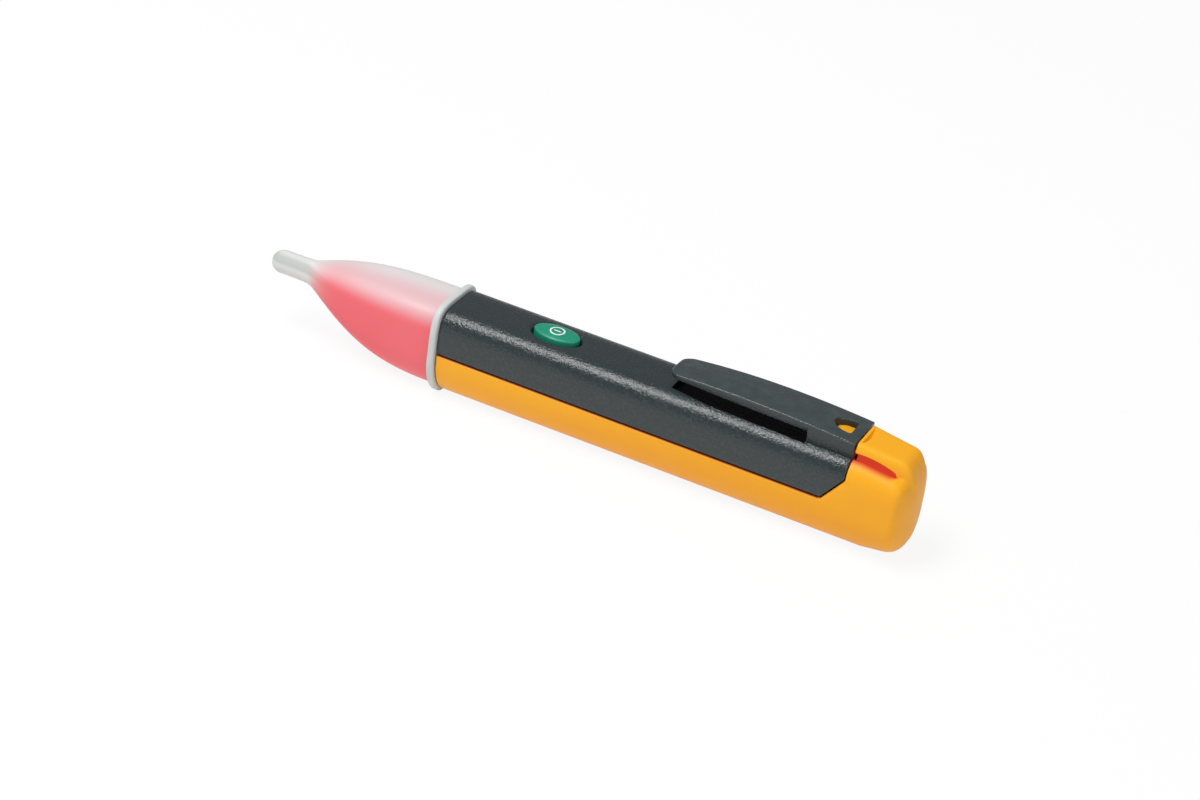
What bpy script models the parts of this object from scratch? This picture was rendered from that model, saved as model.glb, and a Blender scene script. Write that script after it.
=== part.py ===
"""Pen-shaped non-contact voltage tester, modelled as the pieces it comes apart into.

Lengths are in metres. Inside the model, X is the station along the pen, measured from the rear
face of the nose flange towards the rear end, Y runs across the pen, and Z is the height above the
flat land under the battery tray. The empty "tester" shifts all of it, so that the world origin
lies under the middle of the pen.
"""

import math

import bmesh
import bpy
from mathutils import Matrix, Vector

MM = 0.001

# Clearances
GAP = 0.3 * MM
SOLDER_GAP = 0.1 * MM
OVERSHOOT = 2.0 * MM

# Whole pen: a squared-off upper half of the section over an elliptical belly with a flat land
TOTAL_LENGTH = 150.0 * MM
NOSE_LENGTH = 44.7 * MM
REAR_END = TOTAL_LENGTH - NOSE_LENGTH
BODY_WIDTH = 16.5 * MM
BODY_HEIGHT = 20.6 * MM
WIDEST_Z = 9.2 * MM
BELLY_DEPTH = 9.4 * MM
SHOULDER_POWER = 4.8
ROUND_POWER = 2.0
SECTION_POINTS = 40
WALL = 2.0 * MM
HALF_WIDTH = BODY_WIDTH / 2

# Split line between the cover and the tray, which climbs at the heel to the cover's rear end
SPLIT_Z = 11.0 * MM
HEEL_START = 87.4 * MM
HEEL_TOP_Z = 16.7 * MM
COVER_END = 91.6 * MM
GROOVE_CHAMFER = 0.4 * MM

# Upper cover
COVER_ARC_STEPS = 30
LAP_WALL = 0.9 * MM
LAP_TOP = 13.2 * MM
GUIDE_REACH = 1.25 * MM
GUIDE_THICKNESS = 0.6 * MM
SEAT_INSET = 1.9 * MM
SEAT_DEPTH = 6.0 * MM

# Nose lens
FLANGE_THICKNESS = 1.6 * MM
FLANGE_PROUD = 0.8 * MM
FLANGE_ROUND = 0.35 * MM
NOSE_STEP = 0.3 * MM
NOSE_WALL = 1.3 * MM
NOSE_RINGS = 9
NOSE_RING_CROWDING = 1.5
NOSE_WIDTH_POWER = 2.9
NOSE_TOP_POWER = 3.1
NOSE_BOTTOM_POWER = 2.8
NOSE_KEEL_POWER = 1.35
NOSE_SQUARE_POWER = 4.0
NECK_AT = -34.8 * MM
TIP_RADIUS = 2.52 * MM
TIP_Z = 14.3 * MM
TIP_DOME_STEPS = 5
TIP_SKIN = 2.4 * MM
SPIGOT_INSET = 2.3 * MM
SPIGOT_WALL = 1.2 * MM
SPIGOT_END = 5.0 * MM
SNAP_AT = 2.75 * MM
SNAP_LENGTH = 1.5 * MM
SNAP_Z = 15.15 * MM
SNAP_HEIGHT = 1.7 * MM
SNAP_ROOT_Y = 5.0 * MM
SNAP_TIP_Y = 6.7 * MM

# Button and its switch
BUTTON_AT = 23.1 * MM
BUTTON_LENGTH = 10.3 * MM
BUTTON_WIDTH = 6.0 * MM
BUTTON_PROUD = 0.9 * MM
BUTTON_EDGE = 0.3 * MM
BUTTON_LIP = 0.6 * MM
BUTTON_LIP_THICKNESS = 0.7 * MM
BUTTON_POINTS = 32
BUTTON_DOME_STEPS = 4
BUTTON_DISH = 0.7 * MM
STEM_RADIUS = 1.2 * MM
STEM_LENGTH = 0.4 * MM
SWITCH_SIZE = 4.6 * MM
SWITCH_HEIGHT = 1.5 * MM
SWITCH_FLOOR = 0.2 * MM
PLUNGER_RADIUS = 1.1 * MM
PLUNGER_BOTTOM = 0.75 * MM
PLUNGER_TOP = 2.0 * MM
ROUND_STEPS = 24

# Pocket clip: an arched strip whose rear end stands on the cover's pad
CLIP_FRONT = 50.0 * MM
CLIP_ROOT_AT = 81.6 * MM
CLIP_END = 91.6 * MM
CLIP_PEAK_AT = 69.0 * MM
CLIP_PEAK_Z = 24.95 * MM
CLIP_FALL = 0.95 * MM
CLIP_FRONT_BOTTOM = 22.8 * MM
CLIP_ROOT_BOTTOM = 22.62 * MM
CLIP_REAR_HALF_WIDTH = 5.3 * MM
CLIP_TAPER = 1.25 * MM
CLIP_TAPER_POWER = 2.2
CLIP_SHOULDER_POWER = 3.6
CLIP_ROUND = 3.2 * MM
CLIP_ROUND_STEPS = 5
CLIP_STEPS = 6
CLIP_NIB_AT = 54.0 * MM
CLIP_NIB_RADIUS = 1.3 * MM
CLIP_NIB_HALF_WIDTH = 2.2 * MM
CLIP_NIB_STEPS = 8
CLIP_WELL_FRONT = 51.2 * MM
CLIP_WELL_FRONT_HALF_WIDTH = 3.8 * MM
CLIP_WELL_BEND_AT = 60.0 * MM
CLIP_WELL_BEND_HALF_WIDTH = 5.05 * MM
CLIP_WELL_REAR_HALF_WIDTH = 5.65 * MM
CLIP_WELL_DEPTH = 1.2 * MM
ROOT_BOTTOM = 21.9 * MM
PAD_BOTTOM = 19.0 * MM
PAD_HALF_WIDTH = 5.1 * MM
PAD_RAIL = 1.5 * MM
PAD_FRONT_BAR = 0.8 * MM
SLOT_BOTTOM = 16.5 * MM
HOLE_REAR = 89.4 * MM
HOLE_LENGTH = 4.4 * MM
HOLE_HALF_WIDTH = 2.4 * MM
HOLE_STEPS = 14

# Latch beam: a hollow hood over the rear end, with a tongue that runs under the clip root
HOOD_FRONT = 91.9 * MM
HOOD_END = 101.4 * MM
HOOD_FRONT_HALF_WIDTH = 5.3 * MM
HOOD_END_HALF_WIDTH = 4.6 * MM
HOOD_FRONT_TOP = 23.75 * MM
HOOD_END_TOP = 22.4 * MM
HOOD_FRONT_BOTTOM = 21.85 * MM
HOOD_END_BOTTOM = 20.0 * MM
HOOD_BOTTOM_POWER = 2.2
HOOD_SHOULDER_POWER = 4.0
HOOD_ROOF = 1.4 * MM
HOOD_SKIRT = 1.0 * MM
HOOD_STEPS = 6
LATCH_AXIS_Z = 20.4 * MM
TONGUE_FRONT = 84.2 * MM
TONGUE_BOTTOM = 20.4 * MM
TONGUE_TOP = 21.4 * MM
TONGUE_HALF_WIDTH = 3.2 * MM
TONGUE_SLOT_GAP = 0.3 * MM
RIB_BOTTOM = 18.9 * MM
CATCH_FRONT = 86.0 * MM
CATCH_REAR = 89.0 * MM
CATCH_RAMP = 1.0 * MM
CATCH_TOP = 21.6 * MM
NAIL_GROOVE_AT = 92.7 * MM
NAIL_GROOVE_RADIUS = 14.0 * MM
NAIL_GROOVE_WIDTH = 0.7 * MM
NAIL_GROOVE_DEPTH = 0.4 * MM
NAIL_GROOVE_ARC = math.radians(29)
NAIL_GROOVE_STEPS = 10

# Battery tray and its rear end
TRAY_START = GAP
FALL_START = 94.0 * MM
FALL_END = 103.0 * MM
TOP_FALL = 1.2 * MM
RISE_START = 96.4 * MM
RISE_END = 102.8 * MM
BELLY_RISE = 1.0 * MM
TRAY_POINTS = 64
END_SHOULDER = 100.8 * MM
END_POWER = 2.8
END_FLAT = 0.985
END_STEPS = 7
CAP_FRONT = HOOD_END + GAP
CAP_TOP = 22.7 * MM
CAP_SHOULDER = 100.2 * MM
CAP_END_POWER = 2.7
CAP_SIDE_POWER = 6.0
CAP_FILLET_POWER = 14.0
CAP_MERGE = 0.02 * MM
CAVITY_TOP = 15.5 * MM
CAVITY_END = 102.4 * MM
LIP_INNER_Y = 6.35 * MM
LIP_OUTER_Y = 7.05 * MM
LIP_TOP = 12.9 * MM
LIP_ROOT = 10.0 * MM
LIP_FRONT = 0.8 * MM
LIP_REAR = 86.0 * MM
HOOK_FRONT = -4.0 * MM
HOOK_RISER = 5.6 * MM
HOOK_REAR = 7.0 * MM
HOOK_BOTTOM = 3.9 * MM
HOOK_TOP = 4.9 * MM
HOOK_HALF_WIDTH = 1.8 * MM
POCKET_FLOOR = 18.2 * MM
POCKET_SIDE = (
    (HEEL_START, 5.95 * MM),
    (97.0 * MM, 5.9 * MM),
    (100.0 * MM, 5.7 * MM),
    (100.9 * MM, 5.4 * MM),
    (101.2 * MM, 4.9 * MM),
)

# Circuit board and what it carries
BOARD_BOTTOM = 13.9 * MM
BOARD_THICKNESS = 1.0 * MM
BOARD_TOP = BOARD_BOTTOM + BOARD_THICKNESS
BOARD_FRONT = -20.0 * MM
BOARD_STEP = 6.5 * MM
BOARD_END = 78.0 * MM
BOARD_HALF_WIDTH = 5.9 * MM
BOARD_NECK_HALF_WIDTH = 3.8 * MM
LED_AT = -14.0 * MM
LED_RADIUS = 1.5 * MM
LED_FLANGE_RADIUS = 1.95 * MM
LED_FLANGE_THICKNESS = 1.0 * MM
LED_STRAIGHT = 3.8 * MM
LED_DOME_STEPS = 5
WIRE_RADIUS = 0.4 * MM
WIRE_BACK = -16.0 * MM
WIRE_BEND_START = -21.0 * MM
WIRE_BEND_END = -25.0 * MM
WIRE_TIP = -41.8 * MM
WIRE_BEND_STEPS = 6
WIRE_SIDES_RESOLUTION = 2
SOUNDER_AT = 48.0 * MM
SOUNDER_SIZE = 9.0 * MM
SOUNDER_HEIGHT = 1.9 * MM
SOUND_HOLE_RADIUS = 0.8 * MM
SOUND_HOLE_DEPTH = 1.0 * MM
CHIP_AT = 35.5 * MM
CHIP_LENGTH = 8.7 * MM
CHIP_WIDTH = 3.9 * MM
CHIP_HEIGHT = 1.5 * MM
CHIP_LEGS_PER_SIDE = 7
CHIP_LEG_PITCH = 1.27 * MM
CHIP_LEG_WIDTH = 0.45 * MM
CHIP_LEG_SPAN = 6.0 * MM
CHIP_LEG_THICKNESS = 0.25 * MM
CHIP_LEG_INSET = 0.3 * MM
RESISTOR_STATIONS = (-9.0 * MM, -4.0 * MM)
RESISTOR_SIZE = Vector((3.2, 1.6, 0.6)) * MM
CAPACITOR_AT = 60.0 * MM
CAPACITOR_SIZE = Vector((3.5, 2.8, 1.9)) * MM
CHIP_BEVEL = 0.12 * MM

# Cells and contacts
CELL_RADIUS = 5.25 * MM
CELL_LENGTH = 44.5 * MM
CELL_START = 8.3 * MM
CELL_Z = WALL + GAP + CELL_RADIUS
CELL_NUB_RADIUS = 1.9 * MM
CELL_NUB_LENGTH = 0.9 * MM
CELL_ROUND = 0.5 * MM
SHEET = 0.3 * MM
FRONT_CONTACT_AT = 7.6 * MM
FRONT_CONTACT_HALF_WIDTH = 2.6 * MM
FRONT_CONTACT_FOOT = 6.0 * MM
FRONT_CONTACT_TAB = 2.4 * MM
CONTACT_BOW = 0.2 * MM
CONTACT_BOW_HALF_HEIGHT = 1.1 * MM
CONTACT_BOW_FLAT = 0.5 * MM
RETURN_CONTACT_AT = 7.1 * MM
RETURN_CONTACT_WIDTH = 1.0 * MM
RETURN_CONTACT_Y = 4.5 * MM
RETURN_CONTACT_TAB_Y = 3.0 * MM
RETURN_CONTACT_FOOT = 9.0 * MM
RETURN_CONTACT_KNEE = 10.1 * MM
RETURN_CONTACT_SHIN = 1.0 * MM
RETURN_CONTACT_REACH = 0.4 * MM
STRIP_Y = 5.5 * MM
STRIP_FRONT = 6.6 * MM
STRIP_BOTTOM = 7.6 * MM
STRIP_TOP = 10.4 * MM
PLATE_AT = 101.8 * MM
PLATE_EXTRA = 0.05 * MM
PLATE_HALF_WIDTH = 3.9 * MM
PLATE_BOTTOM = 4.2 * MM
PLATE_TOP = 11.2 * MM
SPRING_WIRE_RADIUS = 0.3 * MM
SPRING_WIDE_RADIUS = 3.3 * MM
SPRING_NARROW_RADIUS = 1.9 * MM
SPRING_TURNS = 2.5
SPRING_POINTS_PER_TURN = 10
SPRING_SIDES_RESOLUTION = 1

# Material colours (linear), roughness and metallic value
FROSTED = ((0.66, 0.62, 0.60), 0.45, 0.0)
CHARCOAL = ((0.045, 0.055, 0.058), 0.55, 0.0)
ORANGE = ((0.88, 0.36, 0.03), 0.45, 0.0)
GREEN = ((0.015, 0.29, 0.17), 0.35, 0.0)
BOARD_GREEN = ((0.02, 0.16, 0.06), 0.5, 0.0)
BLACK = ((0.02, 0.02, 0.022), 0.5, 0.0)
RED_CLEAR = ((0.75, 0.02, 0.02), 0.2, 0.0)
COPPER = ((0.72, 0.38, 0.2), 0.35, 1.0)
STEEL = ((0.6, 0.6, 0.58), 0.3, 1.0)
NICKEL = ((0.68, 0.65, 0.6), 0.3, 1.0)
CERAMIC = ((0.55, 0.48, 0.36), 0.5, 0.0)
CELL_WRAP = ((0.10, 0.12, 0.16), 0.35, 0.0)

SMOOTH_ANGLE = math.radians(35)
WELD = 1e-7
STRAIGHT = 1e-6
AXIS_VECTORS = {"X": Vector((1, 0, 0)), "Y": Vector((0, 1, 0)), "Z": Vector((0, 0, 1))}
AXIS_FRAMES = {
    "X": Matrix(((0, 0, 1), (1, 0, 0), (0, 1, 0))).to_4x4(),
    "Y": Matrix(((1, 0, 0), (0, 0, -1), (0, 1, 0))).to_4x4(),
    "Z": Matrix.Identity(4),
}


def clear_scene():
    for old in list(bpy.data.objects):
        bpy.data.objects.remove(old, do_unlink=True)


def collection(name):
    group = bpy.data.collections.get(name) or bpy.data.collections.new(name)
    if group.name not in bpy.context.scene.collection.children:
        bpy.context.scene.collection.children.link(group)
    return group


def root_empty():
    root = bpy.data.objects.get("tester")
    if root is None:
        root = bpy.data.objects.new("tester", None)
        root.location = (NOSE_LENGTH - TOTAL_LENGTH / 2, 0, 0)
        collection("voltage_tester").objects.link(root)
    return root


def helper(name, mesh):
    """A solid that starts out as a hidden guide in the cutters' collection."""
    solid = bpy.data.objects.new(name, mesh)
    collection("cutters").objects.link(solid)
    solid.parent = root_empty()
    solid.hide_render = True
    solid.display_type = "WIRE"
    return solid


def helper_from_bmesh(name, shape):
    bmesh.ops.recalc_face_normals(shape, faces=shape.faces)
    if shape.calc_volume(signed=True) < 0:
        bmesh.ops.reverse_faces(shape, faces=shape.faces)
    mesh = bpy.data.meshes.new(name)
    shape.to_mesh(mesh)
    shape.free()
    return helper(name, mesh)


def material(name, look):
    colour, roughness, metallic = look
    finish = bpy.data.materials.new(name)
    finish.use_nodes = True
    shader = finish.node_tree.nodes["Principled BSDF"]
    shader.inputs["Base Color"].default_value = (*colour, 1)
    shader.inputs["Roughness"].default_value = roughness
    shader.inputs["Metallic"].default_value = metallic
    return finish


def piece(solid, look, pivot=None):
    """Promote a helper to a piece of the object, with its origin on the pivot if it moves."""
    collection("cutters").objects.unlink(solid)
    collection("voltage_tester").objects.link(solid)
    solid.hide_render = False
    solid.display_type = "TEXTURED"
    solid.data.materials.append(material(solid.name, look))
    solid.data.shade_smooth()
    solid.data.set_sharp_from_angle(angle=SMOOTH_ANGLE)
    if pivot is not None:
        solid.data.transform(Matrix.Translation(-Vector(pivot)))
        solid.location = pivot
    return solid


def combine(target, tool, operation):
    modifier = target.modifiers.new(tool.name, "BOOLEAN")
    modifier.operation = operation
    modifier.object = tool


def cut(target, tool):
    combine(target, tool, "DIFFERENCE")


def join(target, tool):
    combine(target, tool, "UNION")


def blend(start, end, share):
    return start + (end - start) * share


def signed_power(value, exponent):
    return math.copysign(abs(value) ** exponent, value)


def section(half_width, top, bottom, middle=WIDEST_Z, power=SHOULDER_POWER, floor=None):
    """Closed outline across the pen: a squarish half above the middle, an elliptical one below."""
    outline = []
    for index in range(SECTION_POINTS):
        angle = math.tau * index / SECTION_POINTS
        above = math.sin(angle) >= 0
        exponent = 2 / (power if above else ROUND_POWER)
        reach = top - middle if above else middle - bottom
        height = middle + reach * signed_power(math.sin(angle), exponent)
        if floor is not None:
            height = max(height, floor)
        outline.append((half_width * signed_power(math.cos(angle), exponent), height))
    return outline


def body_section(inset):
    belly = WIDEST_Z - BELLY_DEPTH + inset
    return section(HALF_WIDTH - inset, BODY_HEIGHT - inset, belly, floor=max(inset, 0))


def arch(half_width, top, bottom, power):
    """Half section with a flat underside, for the clip and the hood."""
    return section(half_width, top, bottom, middle=bottom, power=power)


def circle_section(radius):
    return section(radius, TIP_Z + radius, TIP_Z - radius, middle=TIP_Z, power=ROUND_POWER)


def ring_at(station, outline):
    return [(station, across, height) for across, height in outline]


def ellipse_ring(centre, half_length, half_width, height):
    ring = []
    for index in range(BUTTON_POINTS):
        angle = math.tau * index / BUTTON_POINTS
        ring.append((centre + half_length * math.cos(angle), half_width * math.sin(angle), height))
    return ring


def loft(name, rings):
    """Skin over rings of equal point count, closed at both ends."""
    shape = bmesh.new()
    loops = [[shape.verts.new(point) for point in ring] for ring in rings]
    count = len(loops[0])
    for near, far in zip(loops, loops[1:]):
        for index in range(count):
            following = (index + 1) % count
            shape.faces.new((near[index], near[following], far[following], far[index]))
    shape.faces.new(loops[0])
    shape.faces.new(loops[-1])
    bmesh.ops.remove_doubles(shape, verts=shape.verts, dist=WELD)
    return helper_from_bmesh(name, shape)


def solid_from_curve(name, curve, place):
    """Mesh of a filled or bevelled curve, with its loose caps welded."""
    wire = bpy.data.objects.new(name + "_curve", curve)
    bpy.context.scene.collection.objects.link(wire)
    evaluated = wire.evaluated_get(bpy.context.evaluated_depsgraph_get())
    mesh = bpy.data.meshes.new_from_object(evaluated)
    bpy.data.objects.remove(wire)
    shape = bmesh.new()
    shape.from_mesh(mesh)
    bpy.data.meshes.remove(mesh)
    bmesh.ops.remove_doubles(shape, verts=shape.verts, dist=WELD)
    shape.transform(place)
    return helper_from_bmesh(name, shape)


def corners_only(outline):
    """The outline without the points that lie inside a straight run."""
    corners = []
    for index, here in enumerate(outline):
        before = Vector(here) - Vector(outline[index - 1])
        after = Vector(outline[(index + 1) % len(outline)]) - Vector(here)
        if abs(before.cross(after)) > STRAIGHT * before.length * after.length:
            corners.append(here)
    return corners


def prism(name, outline, axis, start, end):
    """Outline extruded along X from (y, z), along Y from (x, z) or along Z from (x, y)."""
    outline = corners_only(outline)
    curve = bpy.data.curves.new(name, "CURVE")
    curve.dimensions = "2D"
    curve.fill_mode = "BOTH"
    curve.extrude = (end - start) / 2
    spline = curve.splines.new("POLY")
    spline.points.add(len(outline) - 1)
    for point, (first, second) in zip(spline.points, outline):
        point.co = (first, second, 0, 1)
    spline.use_cyclic_u = True
    middle = AXIS_VECTORS[axis] * (start + end) / 2
    return solid_from_curve(name, curve, Matrix.Translation(middle) @ AXIS_FRAMES[axis])


def tube(name, points, radius, resolution):
    curve = bpy.data.curves.new(name, "CURVE")
    curve.dimensions = "3D"
    curve.bevel_depth = radius
    curve.bevel_resolution = resolution
    curve.use_fill_caps = True
    spline = curve.splines.new("POLY")
    spline.points.add(len(points) - 1)
    for point, place in zip(spline.points, points):
        point.co = (*place, 1)
    return solid_from_curve(name, curve, Matrix.Identity(4))


def box(name, low, high):
    shape = bmesh.new()
    bmesh.ops.create_cube(shape, size=1)
    size = Vector(high) - Vector(low)
    bmesh.ops.scale(shape, vec=size, verts=shape.verts)
    bmesh.ops.translate(shape, vec=Vector(low) + size / 2, verts=shape.verts)
    return helper_from_bmesh(name, shape)


def upright(name, centre, radius, bottom, top):
    shape = bmesh.new()
    place = Matrix.Translation((centre, 0, (bottom + top) / 2))
    bmesh.ops.create_cone(
        shape,
        cap_ends=True,
        segments=ROUND_STEPS,
        radius1=radius,
        radius2=radius,
        depth=top - bottom,
        matrix=place,
    )
    return helper_from_bmesh(name, shape)


def turned(name, profile):
    """Profile of (radius, height) pairs, from the top down the outer side, spun about its own Z."""
    shape = bmesh.new()
    verts = [shape.verts.new((radius, 0, height)) for radius, height in profile]
    for upper, lower in zip(verts, verts[1:]):
        shape.edges.new((upper, lower))
    mesh = bpy.data.meshes.new(name)
    shape.to_mesh(mesh)
    shape.free()
    solid = helper(name, mesh)
    spin = solid.modifiers.new("spin", "SCREW")
    spin.axis = "Z"
    spin.steps = ROUND_STEPS
    spin.render_steps = ROUND_STEPS
    spin.use_merge_vertices = True
    spin.merge_threshold = WELD
    spin.use_smooth_shade = True
    return solid


def mirrored(outline):
    return [(-across, height) for across, height in outline]


def soften(solid, width):
    bevel = solid.modifiers.new("soften", "BEVEL")
    bevel.width = width
    bevel.segments = 1


def shell_arc(inset, height):
    """Upper part of the body section above a height, from the +Y side over to the -Y side."""
    rise = BODY_HEIGHT - inset - WIDEST_Z
    start = math.asin(((height - WIDEST_Z) / rise) ** (SHOULDER_POWER / 2))
    exponent = 2 / SHOULDER_POWER
    arc = []
    for index in range(COVER_ARC_STEPS + 1):
        angle = blend(start, math.pi - start, index / COVER_ARC_STEPS)
        across = (HALF_WIDTH - inset) * signed_power(math.cos(angle), exponent)
        arc.append((across, WIDEST_Z + rise * signed_power(math.sin(angle), exponent)))
    return arc


def cover_outline():
    """Cross-section of the cover, with the lap for the tray's lip and the guides for the board."""
    foot = SPLIT_Z + GAP / 2
    lap_y = HALF_WIDTH - LAP_WALL
    slot_y = HALF_WIDTH - WALL
    guide_y = slot_y - GUIDE_REACH
    lower_guide_top = BOARD_BOTTOM - SOLDER_GAP
    upper_guide_bottom = BOARD_TOP + SOLDER_GAP
    upper_guide_top = upper_guide_bottom + GUIDE_THICKNESS
    inner_side = [
        (HALF_WIDTH - GROOVE_CHAMFER, foot),
        (lap_y, foot),
        (lap_y, LAP_TOP),
        (guide_y, LAP_TOP),
        (guide_y, lower_guide_top),
        (slot_y, lower_guide_top),
        (slot_y, upper_guide_bottom),
        (guide_y, upper_guide_bottom),
        (guide_y, upper_guide_top),
    ]
    outer = shell_arc(0, foot + GROOVE_CHAMFER)
    inner = shell_arc(WALL, upper_guide_top)
    return outer + mirrored(inner_side) + inner[::-1] + inner_side[::-1]


def heel_side_view(offset):
    foot, top = heel_line(-offset)
    climb = (top - foot).normalized() * 2 * OVERSHOOT
    low = foot - climb
    high = top + climb
    return [low.to_tuple(), (high.x, low.y), high.to_tuple()]


def heel_cutter():
    """Wedge that takes the cover's lower rear corner off along the climbing split line."""
    return chamfered("heel_cutter", heel_side_view(GROOVE_CHAMFER), heel_side_view(0))


def button_hole_cutter():
    """Oval hole for the button that opens into a shallow dish at the surface."""
    length = BUTTON_LENGTH / 2 + GAP
    width = BUTTON_WIDTH / 2 + GAP
    rings = []
    for grow, height in (
        (0, BODY_HEIGHT - WALL - OVERSHOOT),
        (0, BODY_HEIGHT - BUTTON_DISH),
        (BUTTON_DISH, BODY_HEIGHT),
        (BUTTON_DISH, BODY_HEIGHT + OVERSHOOT),
    ):
        rings.append(ellipse_ring(BUTTON_AT, length + grow, width + grow, height))
    return loft("button_hole_cutter", rings)


def clip_pad():
    """U-shaped pad under the clip root: two rails and a bar across their front."""
    inner = PAD_HALF_WIDTH - PAD_RAIL
    bar_rear = CLIP_ROOT_AT + PAD_FRONT_BAR
    rear = COVER_END - SOLDER_GAP
    side = [(bar_rear, inner), (rear, inner), (rear, PAD_HALF_WIDTH), (CLIP_ROOT_AT, PAD_HALF_WIDTH)]
    other_side = [(station, -across) for station, across in reversed(side)]
    return prism("clip_pad", side + other_side, "Z", PAD_BOTTOM, ROOT_BOTTOM - GAP)


def clip_well_cutter():
    """Relief in the cover's top under the clip's arm, so that a pocket edge finds room there."""
    side = [
        (CLIP_WELL_FRONT, CLIP_WELL_FRONT_HALF_WIDTH),
        (CLIP_WELL_BEND_AT, CLIP_WELL_BEND_HALF_WIDTH),
        (CLIP_ROOT_AT - GAP, CLIP_WELL_REAR_HALF_WIDTH),
    ]
    other_side = [(station, -across) for station, across in reversed(side)]
    return prism("clip_well_cutter", side + other_side, "Z", BODY_HEIGHT - CLIP_WELL_DEPTH, CLIP_PEAK_Z)


def snap_box(name, side, grow):
    """Snap nib on the spigot's side, or with some growth the pocket for it in the cover."""
    ends = sorted((side * SNAP_ROOT_Y, side * (SNAP_TIP_Y + grow)))
    half_length = SNAP_LENGTH / 2 + grow
    half_height = SNAP_HEIGHT / 2 + grow
    low = (SNAP_AT - half_length, ends[0], SNAP_Z - half_height)
    high = (SNAP_AT + half_length, ends[1], SNAP_Z + half_height)
    return box(name, low, high)


def upper_cover():
    cover = prism("upper_cover", cover_outline(), "X", TRAY_START, COVER_END)
    join(cover, clip_pad())
    slot_half = TONGUE_HALF_WIDTH + TONGUE_SLOT_GAP
    slot_front = CLIP_ROOT_AT + PAD_FRONT_BAR + GAP
    slot_high = (COVER_END + OVERSHOOT, slot_half, CLIP_PEAK_Z)
    cut(cover, box("tongue_slot_cutter", (slot_front, -slot_half, SLOT_BOTTOM), slot_high))
    cut(cover, heel_cutter())
    cut(cover, button_hole_cutter())
    cut(cover, clip_well_cutter())
    cut(cover, prism("spigot_seat_cutter", body_section(SEAT_INSET), "X", -OVERSHOOT, SEAT_DEPTH))
    for side, name in ((1, "snap_pocket_left"), (-1, "snap_pocket_right")):
        cut(cover, snap_box(name, side, GAP))
    piece(cover, CHARCOAL)


def nose_ring(share, inset):
    """Section of the nose between its neck at share 0 and its base at share 1."""

    def swell(power):
        return 1 - (1 - share) ** power

    base_top = BODY_HEIGHT - NOSE_STEP
    base_bottom = WIDEST_Z - BELLY_DEPTH + NOSE_STEP
    half_width = blend(TIP_RADIUS, HALF_WIDTH - NOSE_STEP, swell(NOSE_WIDTH_POWER))
    top = blend(TIP_Z + TIP_RADIUS, base_top, swell(NOSE_TOP_POWER))
    keel = swell(NOSE_BOTTOM_POWER) ** NOSE_KEEL_POWER
    bottom = blend(TIP_Z - TIP_RADIUS, base_bottom, keel)
    middle = blend(TIP_Z, WIDEST_Z, keel)
    power = blend(ROUND_POWER, SHOULDER_POWER, swell(NOSE_SQUARE_POWER))
    station = blend(NECK_AT, -FLANGE_THICKNESS, share)
    outline = section(
        half_width - inset, top - inset, bottom + inset, middle, power, floor=NOSE_STEP + inset
    )
    return ring_at(station, outline)


def nose_shares():
    return [(step / NOSE_RINGS) ** NOSE_RING_CROWDING for step in range(NOSE_RINGS + 1)]


def nose_lens():
    """One moulding: probe tip, hollow ogive, flange and the open spigot that plugs into the body."""
    tip_end = -NOSE_LENGTH
    tip_centre = tip_end + TIP_RADIUS
    spigot_hollow = body_section(SPIGOT_INSET + SPIGOT_WALL)
    spigot = body_section(SPIGOT_INSET)
    rings = [ring_at(tip_end + TIP_SKIN, circle_section(TIP_RADIUS - NOSE_WALL))]
    rings += [nose_ring(share, NOSE_WALL) for share in nose_shares()]
    rings += [ring_at(-GAP, spigot_hollow), ring_at(SPIGOT_END, spigot_hollow)]
    rings += [ring_at(SPIGOT_END, spigot), ring_at(0, spigot)]
    for station, proud in (
        (0, FLANGE_PROUD - FLANGE_ROUND),
        (-FLANGE_ROUND, FLANGE_PROUD),
        (FLANGE_ROUND - FLANGE_THICKNESS, FLANGE_PROUD),
        (-FLANGE_THICKNESS, FLANGE_PROUD - FLANGE_ROUND),
    ):
        rings.append(ring_at(station, body_section(-proud)))
    rings += [nose_ring(share, 0) for share in reversed(nose_shares())]
    for step in range(TIP_DOME_STEPS):
        angle = math.pi / 2 * step / TIP_DOME_STEPS
        station = tip_centre - TIP_RADIUS * math.sin(angle)
        rings.append(ring_at(station, circle_section(TIP_RADIUS * math.cos(angle))))
    flat_ring = TIP_RADIUS * math.sin(math.pi / 4 / TIP_DOME_STEPS)
    rings.append(ring_at(tip_end, circle_section(flat_ring)))
    lens = loft("nose_lens", rings)
    for side, name in ((1, "snap_nib_left"), (-1, "snap_nib_right")):
        join(lens, snap_box(name, side, 0))
    piece(lens, FROSTED)


def ramp(station, start, end):
    return min(1, max(0, (station - start) / (end - start)))


def end_shrink(station, shoulder, power):
    """Share of its full size that a form keeps as it rounds over from a shoulder to the end face."""
    return (1 - (END_FLAT * ramp(station, shoulder, REAR_END)) ** power) ** (1 / power)


def reach_along(half_width, height, power, across, up):
    """Distance from the middle to a superellipse, along a unit direction."""
    return (abs(across / half_width) ** power + abs(up / height) ** power) ** (-1 / power)


def cap_reach(station, across, up):
    """Distance from the middle to the raised part of the rear end, behind the hood."""
    shrink = end_shrink(station, CAP_SHOULDER, CAP_END_POWER)
    height = (CAP_TOP - WIDEST_Z) * shrink
    return reach_along(HOOD_END_HALF_WIDTH * shrink, height, CAP_SIDE_POWER, across, up)


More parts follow.
